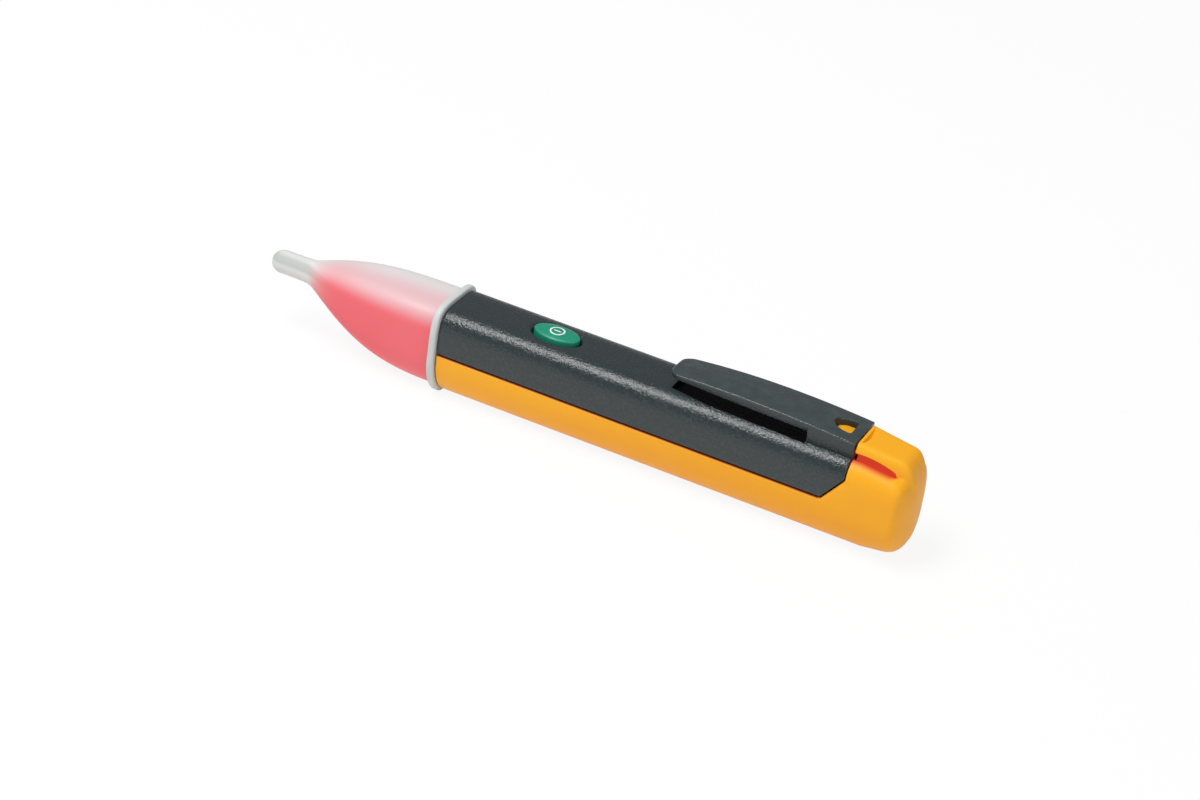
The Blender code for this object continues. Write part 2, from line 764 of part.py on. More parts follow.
def tray_ring(station, capped=False):
    """Section of the tray's outer form, with the raised rear end blended into it where capped."""
    shrink = end_shrink(station, END_SHOULDER, END_POWER)
    rise = BELLY_RISE * ramp(station, RISE_START, RISE_END)
    half_width = HALF_WIDTH * shrink
    height = (BODY_HEIGHT - TOP_FALL * ramp(station, FALL_START, FALL_END) - WIDEST_Z) * shrink
    depth = (BELLY_DEPTH - rise) * shrink
    floor = WIDEST_Z - (WIDEST_Z - rise) * shrink
    outline = []
    for index in range(TRAY_POINTS):
        angle = math.tau * index / TRAY_POINTS
        across = math.sin(angle)
        up = math.cos(angle)
        if up < 0:
            reach = reach_along(half_width, depth, ROUND_POWER, across, up)
        else:
            reach = reach_along(half_width, height, SHOULDER_POWER, across, up)
        if capped and up > 0:
            cap = cap_reach(station, across, up)
            joined = (reach**CAP_FILLET_POWER + cap**CAP_FILLET_POWER) ** (1 / CAP_FILLET_POWER)
            reach = joined if joined - reach > CAP_MERGE else reach
        outline.append((across * reach, max(WIDEST_Z + up * reach, floor)))
    return ring_at(station, outline)


def tray_outer():
    """Outer form of the lower half and the full-height rear end, with its convex end face."""
    stations = (TRAY_START, FALL_START, RISE_START, END_SHOULDER, CAP_FRONT)
    rings = [tray_ring(station) for station in stations]
    for step in range(END_STEPS + 1):
        share = 1 - (1 - step / END_STEPS) ** 2
        rings.append(tray_ring(blend(CAP_FRONT, REAR_END, share), capped=True))
    return loft("battery_tray", rings)


def chamfered(name, outline, inner_outline):
    """Prism along Y whose outline changes at the body's skin, so that its edge there is a chamfer."""
    skin = HALF_WIDTH - GROOVE_CHAMFER
    rings = []
    for across, side_view in (
        (-BODY_WIDTH, outline),
        (-HALF_WIDTH, outline),
        (-skin, inner_outline),
        (skin, inner_outline),
        (HALF_WIDTH, outline),
        (BODY_WIDTH, outline),
    ):
        rings.append([(station, across, height) for station, height in side_view])
    return loft(name, rings)


def heel_line(offset):
    """Foot and top of the climbing split line, moved by an offset towards the rear."""
    foot = SPLIT_Z + GAP / 2
    climb = Vector((COVER_END - HEEL_START, HEEL_TOP_Z - foot))
    along = offset * climb.length / climb.y
    return Vector((HEEL_START + along, foot)), Vector((COVER_END + along, HEEL_TOP_Z))


def tray_side_view(offset):
    """Side view of what belongs to the tray: below the split line and behind the cover."""
    ledge = SPLIT_Z - GAP / 2 - offset
    rear = REAR_END + OVERSHOOT
    ceiling = CLIP_PEAK_Z + OVERSHOOT
    foot, top = heel_line(GAP + offset)
    slope = (top.y - foot.y) / (top.x - foot.x)
    wall = COVER_END + GAP + offset
    return [
        (-OVERSHOOT, -OVERSHOOT),
        (rear, -OVERSHOOT),
        (rear, ceiling),
        (wall, ceiling),
        (wall, top.y + (wall - top.x) * slope),
        (foot.x + (ledge - foot.y) / slope, ledge),
        (-OVERSHOOT, ledge),
    ]


def latch_pocket_cutter():
    """Pocket under the hood, wider than it, so that a slit shows along either flank."""
    other_side = [(station, -across) for station, across in reversed(POCKET_SIDE)]
    return prism("latch_pocket_cutter", [*POCKET_SIDE, *other_side], "Z", POCKET_FLOOR, CLIP_PEAK_Z)


def tray_hook():
    """Hook at the tray's front end that reaches into the nose's spigot."""
    outline = [
        (HOOK_RISER, WALL / 2),
        (HOOK_REAR, WALL / 2),
        (HOOK_REAR, HOOK_TOP),
        (HOOK_FRONT, HOOK_TOP),
        (HOOK_FRONT, HOOK_BOTTOM),
        (HOOK_RISER, HOOK_BOTTOM),
    ]
    return prism("tray_hook", outline, "Y", -HOOK_HALF_WIDTH, HOOK_HALF_WIDTH)


def battery_tray():
    tray = tray_outer()
    region = chamfered("tray_region", tray_side_view(GROOVE_CHAMFER), tray_side_view(0))
    combine(tray, region, "INTERSECT")
    cavity = section(HALF_WIDTH - WALL, CAVITY_TOP, WIDEST_Z - BELLY_DEPTH + WALL, floor=WALL)
    cut(tray, prism("cavity_cutter", cavity, "X", -OVERSHOOT, CAVITY_END))
    cut(tray, latch_pocket_cutter())
    join(tray, tray_hook())
    for side, name in ((1, "lip_left"), (-1, "lip_right")):
        near, far = sorted((side * LIP_INNER_Y, side * LIP_OUTER_Y))
        join(tray, box(name, (LIP_FRONT, near, LIP_ROOT), (LIP_REAR, far, LIP_TOP)))
    piece(tray, ORANGE)


def hood_form(name, front, rear, thinner, lower):
    """Tapering hood between two stations, or its hollow when made thinner and lower."""
    rings = []
    for step in range(HOOD_STEPS + 1):
        station = blend(front, rear, step / HOOD_STEPS)
        share = (station - HOOD_FRONT) / (HOOD_END - HOOD_FRONT)
        half_width = blend(HOOD_FRONT_HALF_WIDTH, HOOD_END_HALF_WIDTH, share) - thinner
        top = blend(HOOD_FRONT_TOP, HOOD_END_TOP, share) - lower
        bottom = blend(HOOD_FRONT_BOTTOM, HOOD_END_BOTTOM, share**HOOD_BOTTOM_POWER) - lower
        rings.append(ring_at(station, arch(half_width, top, bottom, HOOD_SHOULDER_POWER)))
    return loft(name, rings)


def nail_groove_cutter():
    """Crescent that a thumb nail or a blade finds near the hood's front edge."""
    centre = NAIL_GROOVE_AT + NAIL_GROOVE_RADIUS
    front = []
    rear = []
    for step in range(NAIL_GROOVE_STEPS + 1):
        angle = blend(-NAIL_GROOVE_ARC, NAIL_GROOVE_ARC, step / NAIL_GROOVE_STEPS) / 2
        width = NAIL_GROOVE_WIDTH * math.cos(angle / NAIL_GROOVE_ARC * math.pi)
        across = NAIL_GROOVE_RADIUS * math.sin(angle)
        station = centre - NAIL_GROOVE_RADIUS * math.cos(angle)
        front.append((station, across))
        if 0 < step < NAIL_GROOVE_STEPS:
            rear.append((station + width, across))
    floor = blend(HOOD_FRONT_TOP, HOOD_END_TOP, (NAIL_GROOVE_AT - HOOD_FRONT) / (HOOD_END - HOOD_FRONT))
    return prism("nail_groove_cutter", front + rear[::-1], "Z", floor - NAIL_GROOVE_DEPTH, CLIP_PEAK_Z)


def latch_tongue():
    """Tongue under the clip root, and the rib inside the hood that carries it."""
    rib_front = HOOD_FRONT + GAP
    rib_rear = HOOD_END - HOOD_SKIRT / 2
    outline = [
        (TONGUE_FRONT, TONGUE_BOTTOM),
        (rib_front, TONGUE_BOTTOM),
        (rib_front, RIB_BOTTOM),
        (rib_rear, RIB_BOTTOM),
        (rib_rear, HOOD_END_TOP - HOOD_ROOF / 2),
        (rib_front, HOOD_FRONT_TOP - HOOD_ROOF / 2),
        (rib_front, TONGUE_TOP),
        (CATCH_REAR, TONGUE_TOP),
        (CATCH_REAR, CATCH_TOP),
        (CATCH_FRONT + CATCH_RAMP, CATCH_TOP),
        (CATCH_FRONT, TONGUE_TOP),
        (TONGUE_FRONT, TONGUE_TOP),
    ]
    return prism("latch_tongue", outline, "Y", -TONGUE_HALF_WIDTH, TONGUE_HALF_WIDTH)


def latch_beam():
    beam = hood_form("latch_beam", HOOD_FRONT, HOOD_END, 0, 0)
    hollow_front = HOOD_FRONT + HOOD_SKIRT
    hollow_rear = HOOD_END - HOOD_SKIRT
    cut(beam, hood_form("hood_hollow_cutter", hollow_front, hollow_rear, HOOD_SKIRT, HOOD_ROOF))
    join(beam, latch_tongue())
    cut(beam, nail_groove_cutter())
    piece(beam, ORANGE, pivot=(HOOD_END + GAP / 2, 0, LATCH_AXIS_Z))


def clip_half_width(station):
    share = (CLIP_END - station) / (CLIP_END - CLIP_FRONT)
    return CLIP_REAR_HALF_WIDTH - CLIP_TAPER * share**CLIP_TAPER_POWER


def clip_top(station):
    reach = CLIP_END - CLIP_PEAK_AT if station > CLIP_PEAK_AT else CLIP_PEAK_AT - CLIP_FRONT
    return CLIP_PEAK_Z - CLIP_FALL * ((station - CLIP_PEAK_AT) / reach) ** 2


def clip_bottom(station):
    """Underside of the clip's arm, straight from its free end to its root."""
    share = (station - CLIP_FRONT) / (CLIP_ROOT_AT - CLIP_FRONT)
    return blend(CLIP_FRONT_BOTTOM, CLIP_ROOT_BOTTOM, share)


def clip_arch(station, shrink, bottom):
    """Section of the clip strip, drawn in towards its middle by the shrink at the rounded front."""
    top = clip_top(station)
    middle = (top + bottom) / 2
    low = blend(middle, bottom, shrink)
    high = blend(middle, top, shrink)
    return ring_at(station, arch(clip_half_width(station) * shrink, high, low, CLIP_SHOULDER_POWER))


def clip_nib():
    """Half-round nib under the front of the clip that grips the cloth."""
    height = clip_bottom(CLIP_NIB_AT) + SHEET
    depth = height - BODY_HEIGHT - GAP
    outline = []
    for step in range(CLIP_NIB_STEPS + 1):
        angle = math.pi + math.pi * step / CLIP_NIB_STEPS
        outline.append((CLIP_NIB_AT + CLIP_NIB_RADIUS * math.cos(angle), height + depth * math.sin(angle)))
    return prism("clip_nib", outline, "Y", -CLIP_NIB_HALF_WIDTH, CLIP_NIB_HALF_WIDTH)


def pocket_clip():
    rings = []
    for step in range(1, CLIP_ROUND_STEPS + 1):
        angle = math.pi / 2 * step / CLIP_ROUND_STEPS
        station = CLIP_FRONT + CLIP_ROUND * (1 - math.cos(angle))
        rings.append(clip_arch(station, math.sin(angle), clip_bottom(station)))
    arm_end = CLIP_ROOT_AT - GAP
    for step in range(1, CLIP_STEPS + 1):
        station = blend(CLIP_FRONT + CLIP_ROUND, arm_end, step / CLIP_STEPS)
        rings.append(clip_arch(station, 1, clip_bottom(station)))
    arm = loft("pocket_clip", rings)
    join(arm, clip_nib())
    flex_z = (clip_top(CLIP_ROOT_AT) + clip_bottom(CLIP_ROOT_AT)) / 2
    piece(arm, CHARCOAL, pivot=(CLIP_ROOT_AT - GAP / 2, 0, flex_z))


def release_hole_cutter():
    """D-shaped hole in the clip root: straight across at the rear, round towards the front."""
    outline = []
    for step in range(HOLE_STEPS + 1):
        angle = math.pi / 2 + math.pi * step / HOLE_STEPS
        outline.append((HOLE_REAR + HOLE_LENGTH * math.cos(angle), HOLE_HALF_WIDTH * math.sin(angle)))
    return prism("release_hole_cutter", outline, "Z", PAD_BOTTOM, CLIP_PEAK_Z + OVERSHOOT)


def clip_root():
    rings = []
    for step in range(CLIP_STEPS + 1):
        station = blend(CLIP_ROOT_AT, CLIP_END, step / CLIP_STEPS)
        rings.append(clip_arch(station, 1, ROOT_BOTTOM))
    root = loft("clip_root", rings)
    cut(root, release_hole_cutter())
    piece(root, CHARCOAL)


def power_button():
    length = BUTTON_LENGTH / 2
    width = BUTTON_WIDTH / 2
    lip_top = BODY_HEIGHT - WALL - GAP
    lip_bottom = lip_top - BUTTON_LIP_THICKNESS
    edge_z = BODY_HEIGHT + BUTTON_EDGE
    rings = [
        ellipse_ring(BUTTON_AT, STEM_RADIUS, STEM_RADIUS, lip_bottom - STEM_LENGTH),
        ellipse_ring(BUTTON_AT, STEM_RADIUS, STEM_RADIUS, lip_bottom),
        ellipse_ring(BUTTON_AT, length + BUTTON_LIP, width + BUTTON_LIP, lip_bottom),
        ellipse_ring(BUTTON_AT, length + BUTTON_LIP, width + BUTTON_LIP, lip_top),
        ellipse_ring(BUTTON_AT, length, width, lip_top),
    ]
    for step in range(BUTTON_DOME_STEPS):
        angle = math.pi / 2 * step / BUTTON_DOME_STEPS
        height = blend(edge_z, BODY_HEIGHT + BUTTON_PROUD, math.sin(angle))
        rings.append(ellipse_ring(BUTTON_AT, length * math.cos(angle), width * math.cos(angle), height))
    button = loft("power_button", rings)
    piece(button, GREEN, pivot=(BUTTON_AT, 0, BODY_HEIGHT))


def circuit_board():
    side = [
        (BOARD_FRONT, BOARD_NECK_HALF_WIDTH),
        (BOARD_STEP, BOARD_NECK_HALF_WIDTH),
        (BOARD_STEP, BOARD_HALF_WIDTH),
        (BOARD_END, BOARD_HALF_WIDTH),
    ]
    other_side = [(station, -across) for station, across in reversed(side)]
    board = prism("circuit_board", side + other_side, "Z", BOARD_BOTTOM, BOARD_TOP)
    piece(board, BOARD_GREEN)


def push_switch():
    seat = BOARD_TOP + SOLDER_GAP
    half = SWITCH_SIZE / 2
    top = seat + SWITCH_HEIGHT
    body = box("switch_body", (BUTTON_AT - half, -half, seat), (BUTTON_AT + half, half, top))
    well_radius = PLUNGER_RADIUS + GAP
    cut(body, upright("plunger_well_cutter", BUTTON_AT, well_radius, seat + SWITCH_FLOOR, top + OVERSHOOT))
    piece(body, BLACK)
    low = seat + PLUNGER_BOTTOM
    plunger = upright("switch_plunger", BUTTON_AT, PLUNGER_RADIUS, low, seat + PLUNGER_TOP)
    piece(plunger, BLACK, pivot=(BUTTON_AT, 0, low))


def indicator_led():
    profile = [
        (0, 0),
        (LED_FLANGE_RADIUS, 0),
        (LED_FLANGE_RADIUS, -LED_FLANGE_THICKNESS),
        (LED_RADIUS, -LED_FLANGE_THICKNESS),
    ]
    for step in range(LED_DOME_STEPS + 1):
        angle = math.pi / 2 * step / LED_DOME_STEPS
        radius = LED_RADIUS * math.cos(angle) if step < LED_DOME_STEPS else 0
        profile.append((radius, -LED_STRAIGHT - LED_RADIUS * math.sin(angle)))
    lamp = turned("indicator_led", profile)
    lamp.location = (LED_AT, 0, BOARD_BOTTOM - SOLDER_GAP)
    piece(lamp, RED_CLEAR)


def sensor_antenna():
    """Wire that lies on the board's front end, dips to the tip's axis and runs into the tip."""
    lie_z = BOARD_TOP + SOLDER_GAP + WIRE_RADIUS
    points = [(WIRE_BACK, 0, lie_z)]
    for step in range(WIRE_BEND_STEPS + 1):
        share = step / WIRE_BEND_STEPS
        ease = (1 - math.cos(math.pi * share)) / 2
        points.append((blend(WIRE_BEND_START, WIRE_BEND_END, share), 0, blend(lie_z, TIP_Z, ease)))
    points.append((WIRE_TIP, 0, TIP_Z))
    piece(tube("sensor_antenna", points, WIRE_RADIUS, WIRE_SIDES_RESOLUTION), COPPER)


def sounder():
    seat = BOARD_TOP + SOLDER_GAP
    half = SOUNDER_SIZE / 2
    top = seat + SOUNDER_HEIGHT
    case = box("sounder", (SOUNDER_AT - half, -half, seat), (SOUNDER_AT + half, half, top))
    hole_bottom = top - SOUND_HOLE_DEPTH
    cut(case, upright("sound_hole_cutter", SOUNDER_AT, SOUND_HOLE_RADIUS, hole_bottom, top + OVERSHOOT))
    piece(case, BLACK)


def chip_legs():
    """Comb of gull legs along both sides, cut from one thin sheet."""
    inner = CHIP_WIDTH / 2 - CHIP_LEG_INSET
    outer = CHIP_LEG_SPAN / 2
    first = CHIP_AT - CHIP_LEG_PITCH * (CHIP_LEGS_PER_SIDE - 1) / 2
    side = []
    for leg in range(CHIP_LEGS_PER_SIDE):
        centre = first + CHIP_LEG_PITCH * leg
        near = centre - CHIP_LEG_WIDTH / 2
        far = centre + CHIP_LEG_WIDTH / 2
        side += [(near, inner), (near, outer), (far, outer), (far, inner)]
    other_side = [(station, -across) for station, across in reversed(side)]
    seat = BOARD_TOP + SOLDER_GAP
    return prism("chip_legs", side + other_side, "Z", seat, seat + CHIP_LEG_THICKNESS)


def controller_chip():
    bottom = BOARD_TOP + SOLDER_GAP + CHIP_LEG_THICKNESS / 2
    low = (CHIP_AT - CHIP_LENGTH / 2, -CHIP_WIDTH / 2, bottom)
    high = (CHIP_AT + CHIP_LENGTH / 2, CHIP_WIDTH / 2, bottom + CHIP_HEIGHT)
    chip = box("controller_chip", low, high)
    soften(chip, CHIP_BEVEL)
    join(chip, chip_legs())
    piece(chip, BLACK)


def board_block(name, station, size, look):
    seat = BOARD_TOP + SOLDER_GAP
    low = (station - size.x / 2, -size.y / 2, seat)
    high = (station + size.x / 2, size.y / 2, seat + size.z)
    block = box(name, low, high)
    soften(block, CHIP_BEVEL)
    piece(block, look)


def small_board_parts():
    for number, station in enumerate(RESISTOR_STATIONS, 1):
        board_block(f"sense_resistor_{number}", station, RESISTOR_SIZE, BLACK)
    board_block("supply_capacitor", CAPACITOR_AT, CAPACITOR_SIZE, CERAMIC)


def cell_profile():
    body = CELL_LENGTH - CELL_NUB_LENGTH
    return [
        (0, CELL_LENGTH),
        (CELL_NUB_RADIUS, CELL_LENGTH),
        (CELL_NUB_RADIUS, body),
        (CELL_RADIUS - CELL_ROUND, body),
        (CELL_RADIUS, body - CELL_ROUND),
        (CELL_RADIUS, CELL_ROUND),
        (CELL_RADIUS - CELL_ROUND, 0),
        (0, 0),
    ]


def cell_end(number):
    return CELL_START + CELL_LENGTH * number + GAP * (number - 1)


def batteries():
    """Two cells end to end, button ends towards the nose."""
    for number, name in ((1, "battery_front"), (2, "battery_rear")):
        cell = turned(name, cell_profile())
        cell.rotation_euler = (0, -math.pi / 2, 0)
        cell.location = (cell_end(number), 0, CELL_Z)
        piece(cell, CELL_WRAP)


def front_contact():
    """Sheet contact that hangs from the board and bows out to the front cell's button."""
    tab_top = BOARD_BOTTOM - SOLDER_GAP
    bow = [
        (0, FRONT_CONTACT_FOOT),
        (0, CELL_Z - CONTACT_BOW_HALF_HEIGHT),
        (CONTACT_BOW, CELL_Z - CONTACT_BOW_FLAT),
        (CONTACT_BOW, CELL_Z + CONTACT_BOW_FLAT),
        (0, CELL_Z + CONTACT_BOW_HALF_HEIGHT),
    ]
    front = [(FRONT_CONTACT_AT + out, height) for out, height in bow]
    rear = [(FRONT_CONTACT_AT + SHEET + out, height) for out, height in bow]
    tab_end = FRONT_CONTACT_AT + FRONT_CONTACT_TAB
    tab = [
        (FRONT_CONTACT_AT + SHEET, tab_top - SHEET),
        (tab_end, tab_top - SHEET),
        (tab_end, tab_top),
        (FRONT_CONTACT_AT, tab_top),
    ]
    outline = rear + tab + front[::-1]
    half = FRONT_CONTACT_HALF_WIDTH
    piece(prism("front_contact", outline, "Y", -half, half), NICKEL)


def return_contact():
    """Sheet finger that hangs from the board and leans on the tray's return strip."""
    tab_top = BOARD_BOTTOM - SOLDER_GAP
    shin_top = RETURN_CONTACT_KNEE + RETURN_CONTACT_SHIN
    foot_y = RETURN_CONTACT_Y + RETURN_CONTACT_REACH
    outline = [
        (RETURN_CONTACT_TAB_Y, tab_top),
        (RETURN_CONTACT_Y + SHEET, tab_top),
        (RETURN_CONTACT_Y + SHEET, shin_top),
        (foot_y + SHEET, RETURN_CONTACT_KNEE),
        (foot_y + SHEET, RETURN_CONTACT_FOOT),
        (foot_y, RETURN_CONTACT_FOOT),
        (foot_y, RETURN_CONTACT_KNEE),
        (RETURN_CONTACT_Y, shin_top),
        (RETURN_CONTACT_Y, tab_top - SHEET),
        (RETURN_CONTACT_TAB_Y, tab_top - SHEET),
    ]
    front = RETURN_CONTACT_AT - RETURN_CONTACT_WIDTH / 2
    piece(prism("return_contact", outline, "X", front, front + RETURN_CONTACT_WIDTH), NICKEL)


def rear_contact():
    """Plate behind the rear cell, with the return strip that runs along the tray's side."""
    rear = PLATE_AT + SHEET
    outer = STRIP_Y + SHEET
    outline = [
        (STRIP_FRONT, STRIP_Y),
        (PLATE_AT, STRIP_Y),
        (PLATE_AT, 0),
        (rear, 0),
        (rear, outer),
        (STRIP_FRONT, outer),
    ]
    contact = prism("rear_contact", outline, "Z", STRIP_BOTTOM, STRIP_TOP)
    low = (PLATE_AT - PLATE_EXTRA, -PLATE_HALF_WIDTH, PLATE_BOTTOM)
    high = (rear + PLATE_EXTRA, PLATE_HALF_WIDTH, PLATE_TOP)
    join(contact, box("contact_plate", low, high))
    piece(contact, NICKEL)


def spring_points():
    """Conical coil from the plate to the rear cell, with a straight end at either side."""
    tail = 2 * SPRING_WIRE_RADIUS
    plate_end = PLATE_AT - PLATE_EXTRA - GAP
    coil_start = plate_end - tail
    coil_end = cell_end(2) + GAP + tail
    count = round(SPRING_TURNS * SPRING_POINTS_PER_TURN)
    coil = []
    for step in range(count + 1):
        share = step / count
        angle = math.tau * SPRING_TURNS * share
        radius = blend(SPRING_WIDE_RADIUS, SPRING_NARROW_RADIUS, share)
        station = blend(coil_start, coil_end, share)
        coil.append(Vector((station, radius * math.cos(angle), CELL_Z + radius * math.sin(angle))))
    first = coil[0] + Vector((tail, 0, 0))
    last = coil[-1] - Vector((tail, 0, 0))
    return coil, [first] + coil + [last]


def contact_spring():
    coil, points = spring_points()
    half_turn = SPRING_POINTS_PER_TURN // 2
    nearest = min(
        (one - other).length
        for index, one in enumerate(coil)
        for other in coil[index + half_turn:]
    )
    print(f"contact_spring: least gap to itself {(nearest - 2 * SPRING_WIRE_RADIUS) / MM:.2f} mm")
    piece(tube("contact_spring", points, SPRING_WIRE_RADIUS, SPRING_SIDES_RESOLUTION), STEEL)


def main():
    clear_scene()
    nose_lens()
    upper_cover()
    battery_tray()
    latch_beam()
    clip_root()
    pocket_clip()
    power_button()
    circuit_board()
    push_switch()
    indicator_led()
    sensor_antenna()
    sounder()
    controller_chip()
    small_board_parts()
    batteries()
    front_contact()
    return_contact()
    rear_contact()
    contact_spring()


main()
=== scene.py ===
"""Pen-shaped voltage tester: its visible pieces and finishes, modelled round the CAD frame.

Lengths are in metres. A station is a distance along the pen from the rear face of the nose flange
towards the rear end, Y runs across the pen and Z is the height above the floor. Pieces are modelled
on stations, and their meshes are then moved to the frame's origin.
"""

import math

import bmesh
import bpy
from mathutils import Matrix, Vector


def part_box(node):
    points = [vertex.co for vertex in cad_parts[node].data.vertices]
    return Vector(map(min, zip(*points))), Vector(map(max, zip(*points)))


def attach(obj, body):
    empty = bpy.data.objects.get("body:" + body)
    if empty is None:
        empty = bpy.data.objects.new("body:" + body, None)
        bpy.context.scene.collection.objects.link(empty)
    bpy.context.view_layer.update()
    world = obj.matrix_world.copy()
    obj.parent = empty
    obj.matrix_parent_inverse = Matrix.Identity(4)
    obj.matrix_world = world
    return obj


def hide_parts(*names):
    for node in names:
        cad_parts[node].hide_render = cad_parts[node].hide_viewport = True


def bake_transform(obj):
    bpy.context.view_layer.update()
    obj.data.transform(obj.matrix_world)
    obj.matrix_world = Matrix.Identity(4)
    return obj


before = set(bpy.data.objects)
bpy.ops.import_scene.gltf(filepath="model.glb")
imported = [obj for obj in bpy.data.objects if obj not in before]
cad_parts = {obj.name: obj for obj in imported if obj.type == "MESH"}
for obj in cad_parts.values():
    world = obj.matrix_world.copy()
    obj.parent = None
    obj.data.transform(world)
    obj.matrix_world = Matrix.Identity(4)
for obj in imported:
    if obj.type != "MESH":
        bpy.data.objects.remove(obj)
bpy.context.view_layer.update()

bl_info = {
    "name": "Voltage Tester",
    "version": (1, 0, 0),
    "blender": (4, 5, 0),
    "location": "View3D > Sidebar > Tester",
    "description": "Models the visible pieces and finishes of a pen-shaped voltage tester",
    "category": "Object",
}

MM = 0.001
NOSE_LENGTH = 44.7 * MM
STATION_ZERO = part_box("nose_lens")[0][0] + NOSE_LENGTH
REAR_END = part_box("battery_tray")[1][0] - STATION_ZERO

# Shapes of the sections across the pen
SHOULDER_POWER = 4.8
ROUND_POWER = 2.0
RING_POINTS = 144
RING_ANGLES = [math.tau * step / RING_POINTS for step in range(RING_POINTS)]
ARC_STEPS = 4
BEVEL_STEPS = 3
GAP = 0.3 * MM
OVERSHOOT = 2.0 * MM
SPLIT_ROUND = 0.45 * MM
SHARP_ANGLE = math.radians(38)
CELL_SHARP_ANGLE = math.radians(30)
PEBBLE_STEPS = (48, 32)
BIT = 0.01 * MM


def length(name, description, default):
    return bpy.props.FloatProperty(
        name=name, description=description, default=default * MM, unit="LENGTH", precision=5
    )


def colour(name, description, default):
    return bpy.props.FloatVectorProperty(
        name=name, description=description, default=default, subtype="COLOR", min=0, max=1
    )


def amount(name, description, default):
    return bpy.props.FloatProperty(name=name, description=description, default=default, min=0)


class TesterSizes(bpy.types.PropertyGroup):
    """Sizes of the visible pieces"""

    half_width: length("Half width", "Half of the body's width", 8.25)
    top: length("Top", "Height of the body's top face", 20.6)
    widest: length("Widest height", "Height at which the body is widest", 9.2)
    belly: length("Belly depth", "Depth of the elliptical lower half", 9.4)
    wall: length("Wall", "Thickness of the shells", 2.0)
    split: length("Split height", "Height of the line between cover and tray", 11.0)
    heel: length("Heel", "Station where the split line starts to climb", 87.4)
    heel_top: length("Heel top", "Height where the split line meets the cover's end", 16.7)
    cover_end: length("Cover end", "Station of the cover's rear end", 91.6)
    neck: length("Neck", "Distance of the nose's neck from the flange", 34.8)
    tip_radius: length("Tip radius", "Radius of the probe tip", 2.52)
    tip_height: length("Tip height", "Height of the probe tip's axis", 14.3)
    flange: length("Flange", "Thickness of the nose flange", 1.6)
    flange_proud: length("Flange proud", "How far the flange stands out of the body", 0.8)
    button_at: length("Button station", "Station of the button's middle", 23.1)
    button_length: length("Button length", "Length of the oval button", 10.3)
    button_width: length("Button width", "Width of the oval button", 6.0)
    button_proud: length("Button proud", "Height of the button over the cover", 0.9)
    sign_radius: length("Sign radius", "Outer radius of the ring on the button", 1.64)
    sign_stroke: length("Sign stroke", "Width of the ring's line", 0.34)
    clip_front: length("Clip front", "Station of the clip's free end", 50.0)
    clip_end: length("Clip end", "Station of the clip's rear end", 91.6)
    clip_top: length("Clip top", "Height of the clip's highest point", 24.945)
    clip_half_width: length("Clip half width", "Half width of the clip's rear end", 5.3)
    clip_front_bottom: length("Clip front bottom", "Height of the underside at the free end", 22.8)
    clip_root_bottom: length("Clip root bottom", "Height of the arm's underside at its root", 22.62)
    hood_front: length("Hood front", "Station of the latch hood's front edge", 91.85)
    hood_top: length("Hood top", "Height of the hood's front edge", 23.75)
    hood_half_width: length("Hood half width", "Half width of the hood's front edge", 5.3)


class TesterColours(bpy.types.PropertyGroup):
    """Colours of the finishes"""

    milk: colour("Milky lens", "Unlit frosted tip", (0.65, 0.66, 0.64))
    # Painted shade on the tip's sides, darker between two heights
    milk_painted_shade: colour("Lens core", "Shade of the wire inside the tip", (0.47, 0.48, 0.465))
    rim: colour("Lens rim", "Unlit flange of the nose", (0.545, 0.58, 0.575))
    # Painted glow spill: the pink of the lit side carried up the near upper side only
    glow_spill: colour("Blush", "Upper near side of the glowing nose", (0.70, 0.462, 0.484))
    haze: colour("Haze", "Upper far side of the glowing nose", (0.663, 0.625, 0.634))
    glow: colour("Glow", "Lit side of the nose", (0.73, 0.136, 0.156))
    charcoal: colour("Charcoal", "Cover and clip", (0.019, 0.028, 0.030))
    charcoal_light: colour("Worn charcoal", "Grain of the cover", (0.030, 0.041, 0.044))
    # Painted sheen: the clip's top made lighter than the rest of the charcoal, with random patches
    # in it
    charcoal_sheen: colour("Rubbed charcoal", "Top of the clip", (0.036, 0.048, 0.050))
    orange: colour("Orange", "Tray and latch", (0.88, 0.395, 0.012))
    orange_deep: colour("Deep orange", "Slightly darker flow marks", (0.86, 0.360, 0.010))
    ember: colour("Ember", "Orange plastic lit through in a slit", (0.52, 0.042, 0.018))
    # Painted shade along the split line
    seam: colour("Seam", "Orange plastic in the shade of the split line", (0.30, 0.045, 0.010))
    green: colour("Green", "Button", (0.006, 0.27, 0.16))
    print_white: colour("White print", "Ring and bar on the button", (0.80, 0.84, 0.82))
    board: colour("Board", "Solder mask", (0.02, 0.16, 0.06))
    black: colour("Black moulding", "Switch, chip and sounder", (0.020, 0.020, 0.022))
    lamp: colour("Lamp", "Clear red lamp", (0.75, 0.02, 0.02))
    copper: colour("Copper", "Antenna wire", (0.72, 0.38, 0.20))
    nickel: colour("Nickel", "Plated contacts", (0.68, 0.65, 0.60))
    wrap: colour("Cell wrap", "Sleeve of the cells", (0.06, 0.075, 0.10))
    band: colour("Cell band", "Band at the cells' button end", (0.62, 0.36, 0.16))
    ceramic: colour("Capacitor", "Case of the capacitor", (0.55, 0.48, 0.36))


class TesterStage(bpy.types.PropertyGroup):
    """Light and background"""

    sky: amount("Sky", "Strength of the even light from all round", 0.26)
    key: amount("Key", "Power of the lamp overhead", 6.6)
    fill: amount("Fill", "Power of the lamp at the camera's side", 2.2)
    floor: colour("Floor", "Colour of the floor", (0.90, 0.90, 0.90))
    floor_white: bpy.props.FloatProperty(
        name="White floor",
        description="Share of plain white that the camera sees in the floor",
        default=0.9,
        subtype="FACTOR",
        min=0,
        max=1,
    )


# Mesh building


def blend(start, end, share):
    return start + (end - start) * share


def spread(start, end, steps):
    return [blend(start, end, step / steps) for step in range(steps + 1)]


